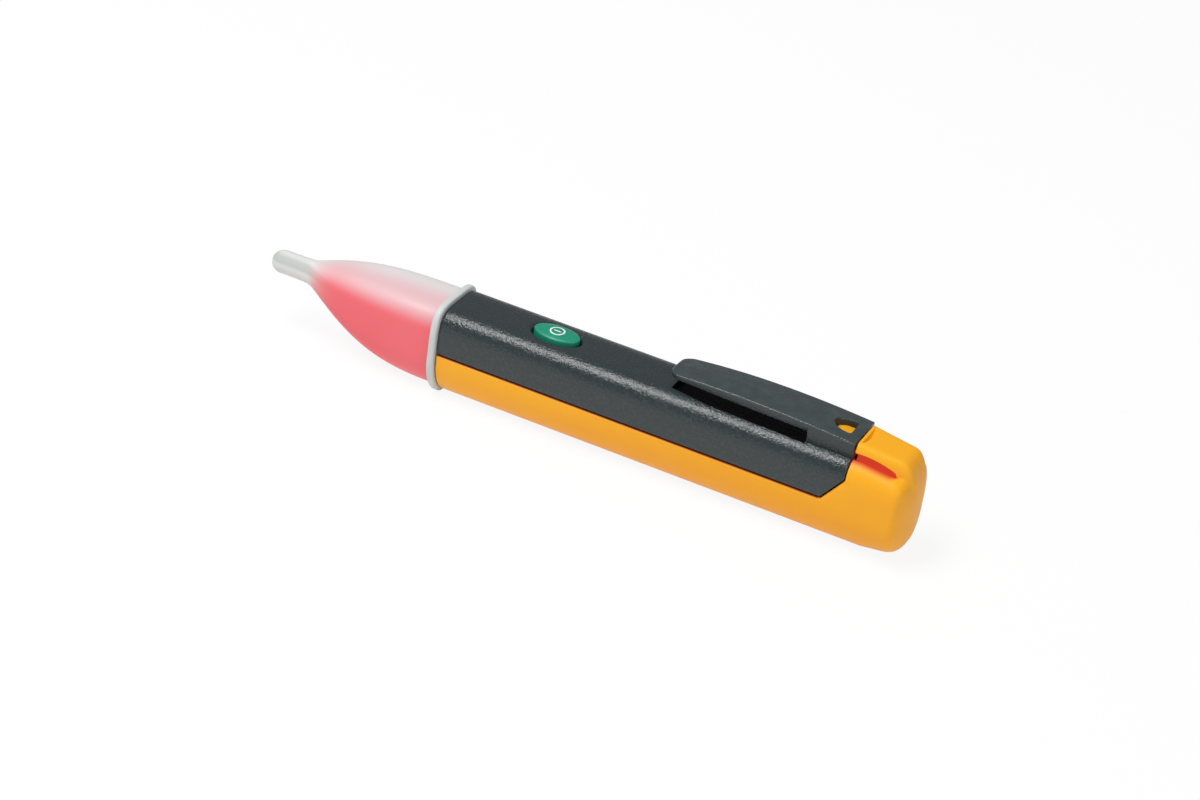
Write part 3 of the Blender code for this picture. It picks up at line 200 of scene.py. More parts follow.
def quarter(radius, steps=ARC_STEPS):
    """Steps along a quarter circle: pairs of how far it has run and how far from full it is."""
    pairs = []
    for step in range(steps + 1):
        angle = math.pi / 2 * step / steps
        pairs.append((radius * (1 - math.cos(angle)), radius * (1 - math.sin(angle))))
    return pairs


def arc(centre, radius, start, end, steps=ARC_STEPS):
    points = []
    for angle in spread(math.radians(start), math.radians(end), steps):
        points.append((centre[0] + radius * math.cos(angle), centre[1] + radius * math.sin(angle)))
    return points


def across_ring(station, outline):
    return [Vector((station, across, height)) for across, height in outline]


def side_ring(across, outline):
    return [Vector((station, across, height)) for station, height in outline]


def level_ring(height, outline):
    return [Vector((station, across, height)) for station, across in outline]


def ring(shape, points):
    """Closed loop of edges, bent from a circle to the points."""
    made = bmesh.ops.create_circle(shape, segments=len(points), radius=1)
    for vert, point in zip(made["verts"], points):
        vert.co = point
    return list(dict.fromkeys(edge for vert in made["verts"] for edge in vert.link_edges))


def skin(name, rings):
    """Closed solid over rings with equal point counts."""
    shape = bmesh.new()
    loops = [ring(shape, points) for points in rings]
    for near, far in zip(loops, loops[1:]):
        bmesh.ops.bridge_loops(shape, edges=near + far)
    bmesh.ops.edgeloop_fill(shape, edges=loops[0])
    bmesh.ops.edgeloop_fill(shape, edges=loops[-1])
    return solid(name, shape)


def solid(name, shape):
    bmesh.ops.recalc_face_normals(shape, faces=shape.faces)
    if shape.calc_volume(signed=True) < 0:
        bmesh.ops.reverse_faces(shape, faces=shape.faces)
    mesh = bpy.data.meshes.new(name)
    shape.to_mesh(mesh)
    shape.free()
    made = bpy.data.objects.new(name, mesh)
    bpy.context.scene.collection.objects.link(made)
    return made


def block(name, low, high, round_edges):
    """Box with rounded edges."""
    shape = bmesh.new()
    bmesh.ops.create_cube(shape, size=1)
    size = Vector(high) - Vector(low)
    bmesh.ops.scale(shape, vec=size, verts=shape.verts)
    bmesh.ops.translate(shape, vec=Vector(low) + size / 2, verts=shape.verts)
    soften(shape, shape.edges, round_edges)
    return solid(name, shape)


def soften(shape, edges, width):
    bmesh.ops.bevel(
        shape,
        geom=list(edges),
        offset=width,
        offset_type="OFFSET",
        affect="EDGES",
        segments=BEVEL_STEPS,
        profile=0.5,
        material=-1,
    )


def pebble(name, centre, radii):
    """Ellipsoid, used as the clip's nib."""
    shape = bmesh.new()
    around, over = PEBBLE_STEPS
    bmesh.ops.create_uvsphere(shape, u_segments=around, v_segments=over, radius=1)
    bmesh.ops.scale(shape, vec=radii, verts=shape.verts)
    bmesh.ops.translate(shape, vec=centre, verts=shape.verts)
    return solid(name, shape)


def carve(target, tool, operation):
    """Apply one boolean step, and throw the tool away."""
    step = target.modifiers.new(tool.name, "BOOLEAN")
    step.operation = operation
    step.object = tool
    step.solver = "EXACT"
    evaluated = target.evaluated_get(bpy.context.evaluated_depsgraph_get())
    result = bpy.data.meshes.new_from_object(evaluated)
    target.modifiers.clear()
    old = target.data
    target.data = result
    bpy.data.meshes.remove(old)
    used = tool.data
    bpy.data.objects.remove(tool)
    bpy.data.meshes.remove(used)
    if not result.polygons:
        raise RuntimeError(f"nothing is left of {target.name}")


def settle(made, finish, sharp=SHARP_ANGLE):
    """Move a modelled piece from stations to the frame's origin and give it its finish."""
    made.data.transform(Matrix.Translation((STATION_ZERO, 0, 0)))
    made.data.shade_smooth()
    made.data.set_sharp_from_angle(angle=sharp)
    made.data.materials.clear()
    made.data.materials.append(finish)
    return made


# Sections


def reach_along(half_width, height, power, across, up):
    """Distance from the middle to a superellipse, along a unit direction."""
    return (abs(across / half_width) ** power + abs(up / height) ** power) ** (-1 / power)


def oval(half_width, above, below, middle, power, floor):
    """Section across the pen: squarish above its middle, elliptical below, with a flat land."""
    outline = []
    for angle in RING_ANGLES:
        across = math.sin(angle)
        up = math.cos(angle)
        height, bend = (above, power) if up > 0 else (below, ROUND_POWER)
        reach = reach_along(half_width, height, bend, across, up)
        outline.append((across * reach, max(middle + up * reach, floor)))
    return outline


def body_outline(sizes, grow):
    return oval(
        sizes.half_width + grow,
        sizes.top - sizes.widest + grow,
        sizes.belly + grow,
        sizes.widest,
        SHOULDER_POWER,
        max(-grow, 0),
    )


def arch(sizes, half_width, rise, power, low, steps):
    """Upper part of a section above a height, from the +Y side over to the -Y side."""
    lift = low - sizes.widest
    side = half_width * (1 - min(1, lift / rise) ** power) ** (1 / power)
    limit = math.atan2(side, lift)
    outline = []
    for angle in spread(limit, -limit, steps):
        across = math.sin(angle)
        up = math.cos(angle)
        reach = reach_along(half_width, rise, power, across, up)
        outline.append((across * reach, sizes.widest + up * reach))
    return outline


def body_arc(sizes, inset, low, steps):
    """Part of the body's section above a height."""
    rise = sizes.top - sizes.widest - inset
    return arch(sizes, sizes.half_width - inset, rise, SHOULDER_POWER, low, steps)


def mirrored(outline):
    return [(-across, height) for across, height in outline]


# Nose

NOSE_STEP = 0.3 * MM
NOSE_WALL = 1.3 * MM
NECK_SOFTNESS = 0.035
NOSE_WIDTH_POWER = 2.9
NOSE_TOP_POWER = 3.1
NOSE_BOTTOM_POWER = 2.8
NOSE_KEEL_POWER = 1.35
NOSE_SQUARE_POWER = 4.0
TIP_DOME_STEPS = 10
TIP_END_SHARE = 0.06
HOLLOW_STEPS = 14
NOSE_ROOT = 0.6 * MM
# Stations between which the nose has rings, with the number of steps
BELLY_STRETCH = (-30.0 * MM, 34)
NECK_STRETCH = (-30.4 * MM, -38.0 * MM, 24)
TIP_STRETCH = (-39.0 * MM, 3)
FLANGE_FILLET = 0.4 * MM
FLANGE_ROUND = 0.5 * MM
FLANGE_SLOPE = 0.05 * MM
SPIGOT_INSET = 2.3 * MM
SPIGOT_WALL = 1.2 * MM
SPIGOT_END = 5.0 * MM


def nose_outline(sizes, station, inset):
    """Section of the nose, which swells from the probe tip to the flange."""
    run = (station + sizes.neck) / (sizes.neck - sizes.flange)
    share = min((run + math.hypot(run, NECK_SOFTNESS)) / 2, 1)

    def swell(power):
        return 1 - (1 - share) ** power

    radius = sizes.tip_radius
    top = blend(sizes.tip_height + radius, sizes.top - NOSE_STEP, swell(NOSE_TOP_POWER))
    low = sizes.widest - sizes.belly + NOSE_STEP
    keel = swell(NOSE_BOTTOM_POWER) ** NOSE_KEEL_POWER
    bottom = blend(sizes.tip_height - radius, low, keel)
    middle = blend(sizes.tip_height, sizes.widest, keel)
    return oval(
        blend(radius, sizes.half_width - NOSE_STEP, swell(NOSE_WIDTH_POWER)) - inset,
        top - middle - inset,
        middle - bottom - inset,
        middle,
        blend(ROUND_POWER, SHOULDER_POWER, swell(NOSE_SQUARE_POWER)),
        NOSE_STEP + inset,
    )


def flange_profile(sizes):
    """Pairs of station and growth over the body, from the spigot's root forward to the nose."""
    proud = sizes.flange_proud
    profile = []
    for run, rest in quarter(FLANGE_ROUND):
        profile.append((-run, proud - rest))
    for run, rest in reversed(quarter(FLANGE_ROUND)):
        profile.append((run - sizes.flange, proud - rest))
    for run, rest in quarter(FLANGE_FILLET):
        profile.append((-sizes.flange - FLANGE_SLOPE - run, rest - NOSE_STEP))
    return profile


def nose_solid(sizes):
    tip_centre = sizes.tip_radius - NOSE_LENGTH
    hollow = [tip_centre, *spread(-sizes.neck, -sizes.flange, HOLLOW_STEPS)]
    rings = [across_ring(station, nose_outline(sizes, station, NOSE_WALL)) for station in hollow]
    inner = body_outline(sizes, -SPIGOT_INSET - SPIGOT_WALL)
    outer = body_outline(sizes, -SPIGOT_INSET)
    rings += [across_ring(-GAP, inner), across_ring(SPIGOT_END, inner)]
    rings += [across_ring(SPIGOT_END, outer), across_ring(0, outer)]
    for station, grow in flange_profile(sizes):
        rings.append(across_ring(station, body_outline(sizes, grow)))
    belly_end, belly_steps = BELLY_STRETCH
    tip_start, tip_steps = TIP_STRETCH
    stations = spread(-sizes.flange - NOSE_ROOT, belly_end, belly_steps)
    stations += spread(*NECK_STRETCH)
    stations += spread(tip_start, tip_centre, tip_steps)
    rings += [across_ring(station, nose_outline(sizes, station, 0)) for station in stations]
    for angle in spread(0, math.pi / 2, TIP_DOME_STEPS)[1:-1]:
        radius = sizes.tip_radius * math.cos(angle)
        outline = oval(radius, radius, radius, sizes.tip_height, ROUND_POWER, 0)
        rings.append(across_ring(tip_centre - sizes.tip_radius * math.sin(angle), outline))
    last = sizes.tip_radius * TIP_END_SHARE
    outline = oval(last, last, last, sizes.tip_height, ROUND_POWER, 0)
    rings.append(across_ring(-NOSE_LENGTH, outline))
    return skin("nose_shell", rings)


class TESTER_OT_nose(bpy.types.Operator):
    """Model the frosted nose with its probe tip, flange and spigot"""

    bl_idname = "tester.nose"
    bl_label = "Nose"

    def execute(self, context):
        nose = nose_solid(context.scene.tester_sizes)
        settle(nose, lens_finish(context.scene.tester_colours))
        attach(nose, "housing")
        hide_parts("nose_lens")
        return {"FINISHED"}


# Upper cover

LAP_WALL = 0.9 * MM
LAP_TOP = 13.2 * MM
GUIDE_REACH = 1.25 * MM
GUIDE_LEVELS = (13.8 * MM, 15.0 * MM, 15.6 * MM)
COVER_ARC = 96
COVER_STEPS = 72
FOOT_ARC = (-18, -90)
COVER_INNER_ARC = 28
END_ROUND = 0.25 * MM
WELL_SIDE = ((51.2, 3.8), (60.0, 5.05), (81.3, 5.65))
WELL_FLOOR = 19.4 * MM
SLOT_FRONT = 82.7 * MM
SLOT_HALF_WIDTH = 3.5 * MM
SLOT_BOTTOM = 19.2 * MM
SLOT_TOP = 21.9 * MM
SLOT_ROUND = 0.2 * MM
BUTTON_POINTS = 96
DISH_FLARE = (
    (0, -4.0),
    (0, -0.8),
    (0.1, -0.55),
    (0.28, -0.34),
    (0.52, -0.17),
    (0.8, -0.06),
    (1.15, 0.02),
    (1.15, 2.0),
)


def cover_outline(sizes, inset):
    """Section of the cover, with rounded feet, a lap for the tray's lip and the board's guides."""
    foot = sizes.split + GAP / 2
    side = sizes.half_width - inset
    outer = body_arc(sizes, inset, foot + SPLIT_ROUND, COVER_ARC)
    right_foot = arc((side - SPLIT_ROUND, foot + SPLIT_ROUND), SPLIT_ROUND, *FOOT_ARC)
    lap = sizes.half_width - LAP_WALL
    slot = sizes.half_width - sizes.wall
    guide = slot - GUIDE_REACH
    below, above, crest = GUIDE_LEVELS
    inside = [
        (lap, foot),
        (lap, LAP_TOP),
        (guide, LAP_TOP),
        (guide, below),
        (slot, below),
        (slot, above),
        (guide, above),
        (guide, crest),
    ]
    ceiling = body_arc(sizes, sizes.wall, crest, COVER_INNER_ARC)
    left = mirrored(right_foot) + mirrored(inside)
    return outer + left + ceiling[::-1] + inside[::-1] + right_foot[::-1]


def cover_shell(sizes):
    rings = []
    for run, rest in quarter(END_ROUND):
        rings.append(across_ring(GAP + run, cover_outline(sizes, rest)))
    for station in spread(GAP + END_ROUND, sizes.cover_end - END_ROUND, COVER_STEPS)[1:-1]:
        rings.append(across_ring(station, cover_outline(sizes, 0)))
    for run, rest in reversed(quarter(END_ROUND)):
        rings.append(across_ring(sizes.cover_end - run, cover_outline(sizes, rest)))
    return skin("cover_shell", rings)


def ellipse(centre, half_length, half_width, points):
    outline = []
    for step in range(points):
        angle = math.tau * step / points
        outline.append((centre + half_length * math.cos(angle), half_width * math.sin(angle)))
    return outline


def button_hole(sizes):
    """Oval hole whose rim rolls over into the cover's top."""
    rings = []
    for grow, height in DISH_FLARE:
        half_length = sizes.button_length / 2 + GAP + grow * MM
        half_width = sizes.button_width / 2 + GAP + grow * MM
        outline = ellipse(sizes.button_at, half_length, half_width, BUTTON_POINTS)
        rings.append(level_ring(sizes.top + height * MM, outline))
    return skin("button_hole", rings)


def clip_well(sizes):
    """Relief in the cover's top under the clip's arm."""
    side = [(station * MM, across * MM) for station, across in WELL_SIDE]
    outline = side + [(station, -across) for station, across in reversed(side)]
    rings = [level_ring(WELL_FLOOR, outline), level_ring(sizes.clip_top, outline)]
    return skin("clip_well", rings)


def tongue_slot(sizes):
    """Way for the latch's tongue through the cover's rear end and under the clip root."""
    low = (SLOT_FRONT, -SLOT_HALF_WIDTH, SLOT_BOTTOM)
    high = (sizes.cover_end + OVERSHOOT, SLOT_HALF_WIDTH, SLOT_TOP)
    return block("tongue_slot", low, high, SLOT_ROUND)


def rolled(name, sizes, side_view):
    """Prism along Y whose outline steps back near the body's flanks, to roll its edges over."""
    steps = [(sizes.half_width - rest, run) for run, rest in quarter(SPLIT_ROUND)]
    steps.append((sizes.half_width * 2, SPLIT_ROUND))
    rings = [side_ring(-across, side_view(offset)) for across, offset in reversed(steps)]
    rings += [side_ring(across, side_view(offset)) for across, offset in steps]
    return skin(name, rings)


def heel_line(sizes, offset):
    """Foot and top of the climbing split line, moved by an offset towards the rear."""
    foot = sizes.split + GAP / 2
    climb = Vector((sizes.cover_end - sizes.heel, sizes.heel_top - foot))
    along = offset * climb.length / climb.y
    return Vector((sizes.heel + along, foot)), Vector((sizes.cover_end + along, sizes.heel_top))


def heel_wedge(sizes):
    """Wedge that takes the cover's lower rear corner off along the climbing split line."""

    def side_view(offset):
        foot, top = heel_line(sizes, -offset)
        climb = (top - foot).normalized() * 2 * OVERSHOOT
        low = foot - climb
        high = top + climb
        return [low.to_tuple(), (high.x, low.y), high.to_tuple()]

    return rolled("heel_wedge", sizes, side_view)


class TESTER_OT_cover(bpy.types.Operator):
    """Model the dark upper cover with the button's hole and the relief under the clip"""

    bl_idname = "tester.cover"
    bl_label = "Upper cover"

    def execute(self, context):
        sizes = context.scene.tester_sizes
        cover = cover_shell(sizes)
        carve(cover, tongue_slot(sizes), "DIFFERENCE")
        carve(cover, clip_well(sizes), "DIFFERENCE")
        carve(cover, heel_wedge(sizes), "DIFFERENCE")
        carve(cover, button_hole(sizes), "DIFFERENCE")
        settle(cover, charcoal_finish(context.scene.tester_colours))
        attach(cover, "housing")
        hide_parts("upper_cover")
        return {"FINISHED"}


# Battery tray

FALL_START = 94.0 * MM
FALL_END = 103.0 * MM
TOP_FALL = 1.2 * MM
RISE_START = 96.4 * MM
RISE_END = 102.8 * MM
BELLY_RISE = 1.0 * MM
END_SHOULDER = 100.8 * MM
END_POWER = 2.8
END_FLAT = 0.985
END_DOME = 16.0 * MM
END_DOME_REST = 0.08 * MM
END_CORNER_POWER = 16.0
CAP_FRONT = 101.3 * MM
CAP_FULL = 102.6 * MM
CAP_START_SHARE = 0.92
CAP_TOP = 22.7 * MM
CAP_SHOULDER = 100.2 * MM
CAP_END_POWER = 2.7
CAP_SIDE_POWER = 9.0
CAP_FILLET_POWER = 26.0
CAP_HALF_WIDTH = 4.6 * MM
CAP_ANGLES = (math.radians(16.5), math.radians(26), 26)
TRAY_STEPS = 16
FALL_FIRST = 94.6 * MM
CAP_STEPS = 26
CAVITY_TOP = 15.5 * MM
CAVITY_END = 102.4 * MM
POCKET_SIDE = ((87.4, 5.0), (94.0, 5.0), (97.0, 5.0), (99.0, 5.0), (99.8, 4.95))
POCKET_CORNER = (99.8, 4.3, 1.4, 0.65)
POCKET_CORNER_STEPS = 8
POCKET_FLOOR = 18.6 * MM
POCKET_RIM = 20.33 * MM
POCKET_RIM_FALL = 0.95 * MM
POCKET_FLARE = (
    (0, -0.6),
    (0.03, -0.35),
    (0.1, -0.18),
    (0.22, -0.06),
    (0.4, 0.02),
    (0.4, 4.0),
)


def ease(station, start, end):
    """Share of the way between two stations, held at 0 before them and at 1 after them."""
    return min(1, max(0, (station - start) / (end - start)))


def end_shrink(station, shoulder, power):
    """Share of its size that a form keeps as it rounds over from a shoulder to the end face."""
    return (1 - (END_FLAT * ease(station, shoulder, REAR_END)) ** power) ** (1 / power)


def end_width(sizes, station):
    """Half width of the tray, which turns a tight corner into a slightly domed end face."""
    run = max(0, station - REAR_END + END_DOME - END_DOME_REST)
    dome = math.sqrt(END_DOME**2 - run**2)
    power = END_CORNER_POWER
    return (sizes.half_width**-power + dome**-power) ** (-1 / power)


def tray_angles():
    """Even steps round the section, with closer ones where the raised rear end has its sides."""
    near, far, steps = CAP_ANGLES
    close = spread(near, far, steps)
    spaced = [angle for angle in RING_ANGLES if not near < min(angle, math.tau - angle) < far]
    return sorted(spaced + close + [math.tau - angle for angle in close])


def tray_outline(sizes, station, inset, capped):
    """Section of the tray's outer form, with the raised rear end blended in where capped."""
    shrink = end_shrink(station, END_SHOULDER, END_POWER)
    rise = BELLY_RISE * ease(station, RISE_START, RISE_END)
    fall = TOP_FALL * ease(station, FALL_START, FALL_END)
    half_width = end_width(sizes, station) - inset
    height = (sizes.top - fall - sizes.widest) * shrink - inset
    depth = (sizes.belly - rise) * shrink - inset
    floor = sizes.widest - (sizes.widest - rise) * shrink + inset
    cap = end_shrink(station, CAP_SHOULDER, CAP_END_POWER)
    cap_height = (CAP_TOP - sizes.widest) * cap
    outline = []
    for angle in tray_angles():
        across = math.sin(angle)
        up = math.cos(angle)
        if up > 0:
            reach = reach_along(half_width, height, SHOULDER_POWER, across, up)
        else:
            reach = reach_along(half_width, depth, ROUND_POWER, across, up)
        if capped and up > 0:
            raised = reach_along(CAP_HALF_WIDTH * cap, cap_height, CAP_SIDE_POWER, across, up)
            raised *= blend(CAP_START_SHARE, 1, ease(station, CAP_FRONT, CAP_FULL))
            power = CAP_FILLET_POWER
            reach = (reach**power + raised**power) ** (1 / power)
        outline.append((across * reach, max(sizes.widest + up * reach, floor)))
    return outline


def tray_shell(sizes):
    rings = []
    for run, rest in quarter(END_ROUND):
        rings.append(across_ring(GAP + run, tray_outline(sizes, GAP, rest, False)))
    stations = spread(GAP + END_ROUND, FALL_START, TRAY_STEPS)[1:]
    stations += spread(FALL_FIRST, CAP_FRONT, TRAY_STEPS)
    for station in stations:
        rings.append(across_ring(station, tray_outline(sizes, station, 0, False)))
    for share in spread(0, 1, CAP_STEPS):
        station = blend(CAP_FRONT, REAR_END, 1 - (1 - share) ** 2)
        rings.append(across_ring(station, tray_outline(sizes, station, 0, True)))
    return skin("tray_shell", rings)


def tray_region(sizes):
    """What belongs to the tray: all below the split line and behind the cover."""

    def side_view(offset):
        ledge = sizes.split - GAP / 2 - offset
        rear = REAR_END + OVERSHOOT
        ceiling = sizes.clip_top + OVERSHOOT
        foot, top = heel_line(sizes, GAP + offset)
        slope = (top.y - foot.y) / (top.x - foot.x)
        wall = sizes.cover_end + GAP + offset
        return [
            (-OVERSHOOT, -OVERSHOOT),
            (rear, -OVERSHOOT),
            (rear, ceiling),
            (wall, ceiling),
            (wall, top.y + (wall - top.x) * slope),
            (foot.x + (ledge - foot.y) / slope, ledge),
            (-OVERSHOOT, ledge),
        ]

    return rolled("tray_region", sizes, side_view)


def pocket_outline(grow):
    side = [(station * MM, (across + grow) * MM) for station, across in POCKET_SIDE]
    station, across, length_left, width_left = POCKET_CORNER
    for angle in spread(0, math.pi / 2, POCKET_CORNER_STEPS)[1:]:
        along = (station + (length_left + grow) * math.sin(angle)) * MM
        side.append((along, (across + (width_left + grow) * math.cos(angle)) * MM))
    return side + [(along, -out) for along, out in reversed(side)]


def latch_pocket():
    """Pocket under the hood, so that a slit with a rolled rim shows on either flank."""
    rings = [level_ring(POCKET_FLOOR, pocket_outline(0))]
    for grow, lift in POCKET_FLARE:
        points = []
        for station, across in pocket_outline(grow):
            rim = POCKET_RIM - POCKET_RIM_FALL * ease(station, FALL_START, CAP_FRONT)
            points.append(Vector((station, across, rim + lift * MM)))
        rings.append(points)
    return skin("latch_pocket", rings)


def tray_cavity(sizes):
    half_width = sizes.half_width - sizes.wall
    outline = oval(
        half_width,
        CAVITY_TOP - sizes.widest,
        sizes.belly - sizes.wall,
        sizes.widest,
        SHOULDER_POWER,
        sizes.wall,
    )
    return skin("cavity", [across_ring(-OVERSHOOT, outline), across_ring(CAVITY_END, outline)])


HOOK = ((-4.0, -1.8, 3.9), (7.0, 1.8, 4.9))
HOOK_RISER = ((5.6, -1.8, 1.0), (7.0, 1.8, 4.7))
LIP = ((0.8, 6.35, 10.0), (86.0, 7.05, 12.9))
TRAY_BLOCK_ROUND = 0.15 * MM


def corners(pair):
    return [Vector(corner) * MM for corner in pair]


class TESTER_OT_tray(bpy.types.Operator):
    """Model the orange battery tray with its full-height rear end"""

    bl_idname = "tester.tray"
    bl_label = "Battery tray"

    def execute(self, context):
        sizes = context.scene.tester_sizes
        tray = tray_shell(sizes)
        carve(tray, tray_region(sizes), "INTERSECT")
        carve(tray, tray_cavity(sizes), "DIFFERENCE")
        carve(tray, latch_pocket(), "DIFFERENCE")
        low, high = corners(LIP)
        for side in (1, -1):
            near, far = sorted((side * low.y, side * high.y))
            lip = block("lip", (low.x, near, low.z), (high.x, far, high.z), TRAY_BLOCK_ROUND)
            carve(tray, lip, "UNION")
        for name, pair in (("hook", HOOK), ("hook_riser", HOOK_RISER)):
            carve(tray, block(name, *corners(pair), TRAY_BLOCK_ROUND), "UNION")
        settle(tray, tray_finish(context.scene.tester_colours))
        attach(tray, "tray")
        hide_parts("battery_tray")
        return {"FINISHED"}


# Latch

HOOD_SIDE_POWER = 9.0
HOOD_ROOT = 101.0 * MM
HOOD_DIVE = 102.6 * MM
HOOD_END = 103.4 * MM
HOOD_SKIN = 0.02 * MM
HOOD_SINK = 0.06 * MM
HOOD_FRONT_BOTTOM = 21.85 * MM
HOOD_ROOT_BOTTOM = 20.05 * MM
HOOD_BOTTOM_POWER = 2.2
DIVE_START = 100.2 * MM
DIVE_END = 101.5 * MM
DIVE_DEPTH = 2.4 * MM
DIVE_POWER = 3.0
HOLLOW_END = 100.2 * MM
HOOD_ROUND = 0.25 * MM
HOOD_ROOF = 1.4 * MM
HOOD_SKIRT = 1.0 * MM
HOOD_ARC = 120
HOOD_INNER_ARC = 24
HOOD_STEPS = 24
HOOD_ROOT_STEPS = 36
HOOD_WALL = 2.4 * MM
GROOVE_FRONT = 92.5 * MM
GROOVE_WIDTH = 1.35 * MM
GROOVE_HALF_LENGTH = 3.7 * MM
GROOVE_DEPTH = 0.7 * MM
GROOVE_LEAN = 0.65
GROOVE_STEPS = 30
TONGUE = ((84.2, -3.2, 20.4), (94.2, 3.2, 21.4))
CATCH = ((85.5, -2.2, 20.6), (89.1, 2.2, 22.7))
RIB = ((91.95, -3.2, 19.2), (100.6, 3.2, 22.4))
LATCH_BLOCK_ROUND = 0.12 * MM


def hood_arc(sizes, half_width, top, low, steps):
    """Tall rounded arch about the body's middle, cut off at a height."""
    return arch(sizes, half_width, top - sizes.widest, HOOD_SIDE_POWER, low, steps)


def hood_size(sizes, station):
    """Half width and top of the hood, which runs back and rounds over with the rear end."""
    level = end_shrink(max(station, HOOD_ROOT), CAP_SHOULDER, CAP_END_POWER)
    skin_depth = blend(HOOD_SKIN, -HOOD_SINK, ease(station, HOOD_DIVE, HOOD_END))
    half_width = CAP_HALF_WIDTH * level + skin_depth
    top = sizes.widest + (CAP_TOP - sizes.widest) * level + skin_depth
    run = ease(station, sizes.hood_front, HOOD_ROOT)
    if run < 1:
        half_width = blend(sizes.hood_half_width, half_width, run)
        top = blend(sizes.hood_top, top, run)
    return half_width, top


def groove_depth(station, across):
    """Depth of the nail's hollow: a steeper front wall and a floor that runs out behind it."""
    taper = 1 - (across / GROOVE_HALF_LENGTH) ** 2
    if taper <= 0:
        return 0
    run = (station - GROOVE_FRONT) / (GROOVE_WIDTH * taper)
    if not 0 < run < 1:
        return 0
    return GROOVE_DEPTH * taper * math.sin(math.pi * run**GROOVE_LEAN) ** 2


def hood_outline(sizes, station, inset, hollow):
    half_width, top = hood_size(sizes, station)
    half_width -= inset
    top -= inset
    run = ease(station, sizes.hood_front, HOOD_ROOT) ** HOOD_BOTTOM_POWER
    bottom = blend(HOOD_FRONT_BOTTOM, HOOD_ROOT_BOTTOM, run)
    bottom -= DIVE_DEPTH * ease(station, DIVE_START, DIVE_END) ** DIVE_POWER
    outer = hood_arc(sizes, half_width, top, bottom, HOOD_ARC)
    outer = [(across, height - groove_depth(station, across)) for across, height in outer]
    inner_half = half_width - HOOD_SKIRT
    if hollow:
        inner = hood_arc(sizes, inner_half, top - HOOD_ROOF, bottom, HOOD_INNER_ARC)
    else:
        inner = [(across, bottom) for across in spread(inner_half, -inner_half, HOOD_INNER_ARC)]
    return outer + inner[::-1]


def hood_shell(sizes):
    front = sizes.hood_front
    rings = []
    for run, rest in quarter(HOOD_ROUND):
        rings.append(across_ring(front + run, hood_outline(sizes, front, rest, False)))
    wall = front + HOOD_WALL
    groove_end = GROOVE_FRONT + GROOVE_WIDTH
    for station in spread(GROOVE_FRONT - BIT, groove_end, GROOVE_STEPS):
        rings.append(across_ring(station, hood_outline(sizes, station, 0, False)))
    rings.append(across_ring(wall, hood_outline(sizes, wall, 0, False)))
    for station in spread(wall + BIT, HOLLOW_END - BIT, HOOD_STEPS):
        rings.append(across_ring(station, hood_outline(sizes, station, 0, True)))
    for station in spread(HOLLOW_END, HOOD_END, HOOD_ROOT_STEPS):
        rings.append(across_ring(station, hood_outline(sizes, station, 0, False)))
    return skin("latch_hood", rings)


class TESTER_OT_latch(bpy.types.Operator):
    """Model the orange latch: the hood over the rear end and its tongue"""

    bl_idname = "tester.latch"
    bl_label = "Latch"

    def execute(self, context):
        sizes = context.scene.tester_sizes
        hood = hood_shell(sizes)
        for name, pair in (("rib", RIB), ("tongue", TONGUE), ("catch", CATCH)):
            carve(hood, block(name, *corners(pair), LATCH_BLOCK_ROUND), "UNION")
        settle(hood, latch_finish(context.scene.tester_colours))
        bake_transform(hood)
        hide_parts("latch_beam")
        return {"FINISHED"}


# Pocket clip

CLIP_PEAK_AT = 69.0 * MM
CLIP_FALL = 0.95 * MM
CLIP_TAPER = 1.25 * MM
CLIP_TAPER_POWER = 2.2
CLIP_CROWN = 0.26 * MM
CLIP_EDGE = 0.3 * MM
CLIP_LOWER_EDGE = 0.18 * MM
CLIP_UNDERCUT = 0.22 * MM
CLIP_CORNER = 2.6 * MM
CLIP_LIP = 0.45 * MM
CLIP_LIP_RISE = 0.25 * MM
CLIP_END_ROUND = 0.12 * MM
CLIP_EDGE_SHARE = 0.6
CLIP_LOWER_SHARE = 0.3
CLIP_LOWER_ARC = (-90, -12)
CLIP_EDGE_ARC = (-8, 87, 7)
CLIP_CROWN_RESTS = (0.85, 0.6, 0.35, 0.12, 0.04)
CLIP_RIDGE_REST = 0.03
CLIP_CORNER_STEPS = 16
CLIP_ARM_STEPS = 26
CLIP_SINK_STEPS = 8
CLIP_ROOT_STEPS = 12
ROOT_STARTS = 81.3 * MM
ROOT_FULL = 81.65 * MM
ROOT_BOTTOM = 20.0 * MM
NIB_AT = 54.0 * MM
NIB_RADII = (1.3 * MM, 1.9 * MM, 1.25 * MM)
NIB_FLOOR = 20.95 * MM
HOLE_REAR = 89.4 * MM
HOLE_LENGTH = 4.4 * MM
HOLE_HALF_WIDTH = 2.4 * MM
HOLE_CORNER = 0.5 * MM
HOLE_STEPS = 40
HOLE_FLARE = ((0, -5.0), (0, -0.4), (0.06, -0.2), (0.18, -0.06), (0.4, 0.06), (0.4, 2.0))


def clip_height(sizes, station):
    reach = sizes.clip_end - CLIP_PEAK_AT
    if station < CLIP_PEAK_AT:
        reach = CLIP_PEAK_AT - sizes.clip_front
    return sizes.clip_top - CLIP_FALL * ((station - CLIP_PEAK_AT) / reach) ** 2


def round_off(distance, radius):
    """How far a rounded corner still is from the full form, at a distance from the end."""
    rest = max(0, radius - distance) / radius
    return radius * (1 - math.sqrt(1 - rest**2))


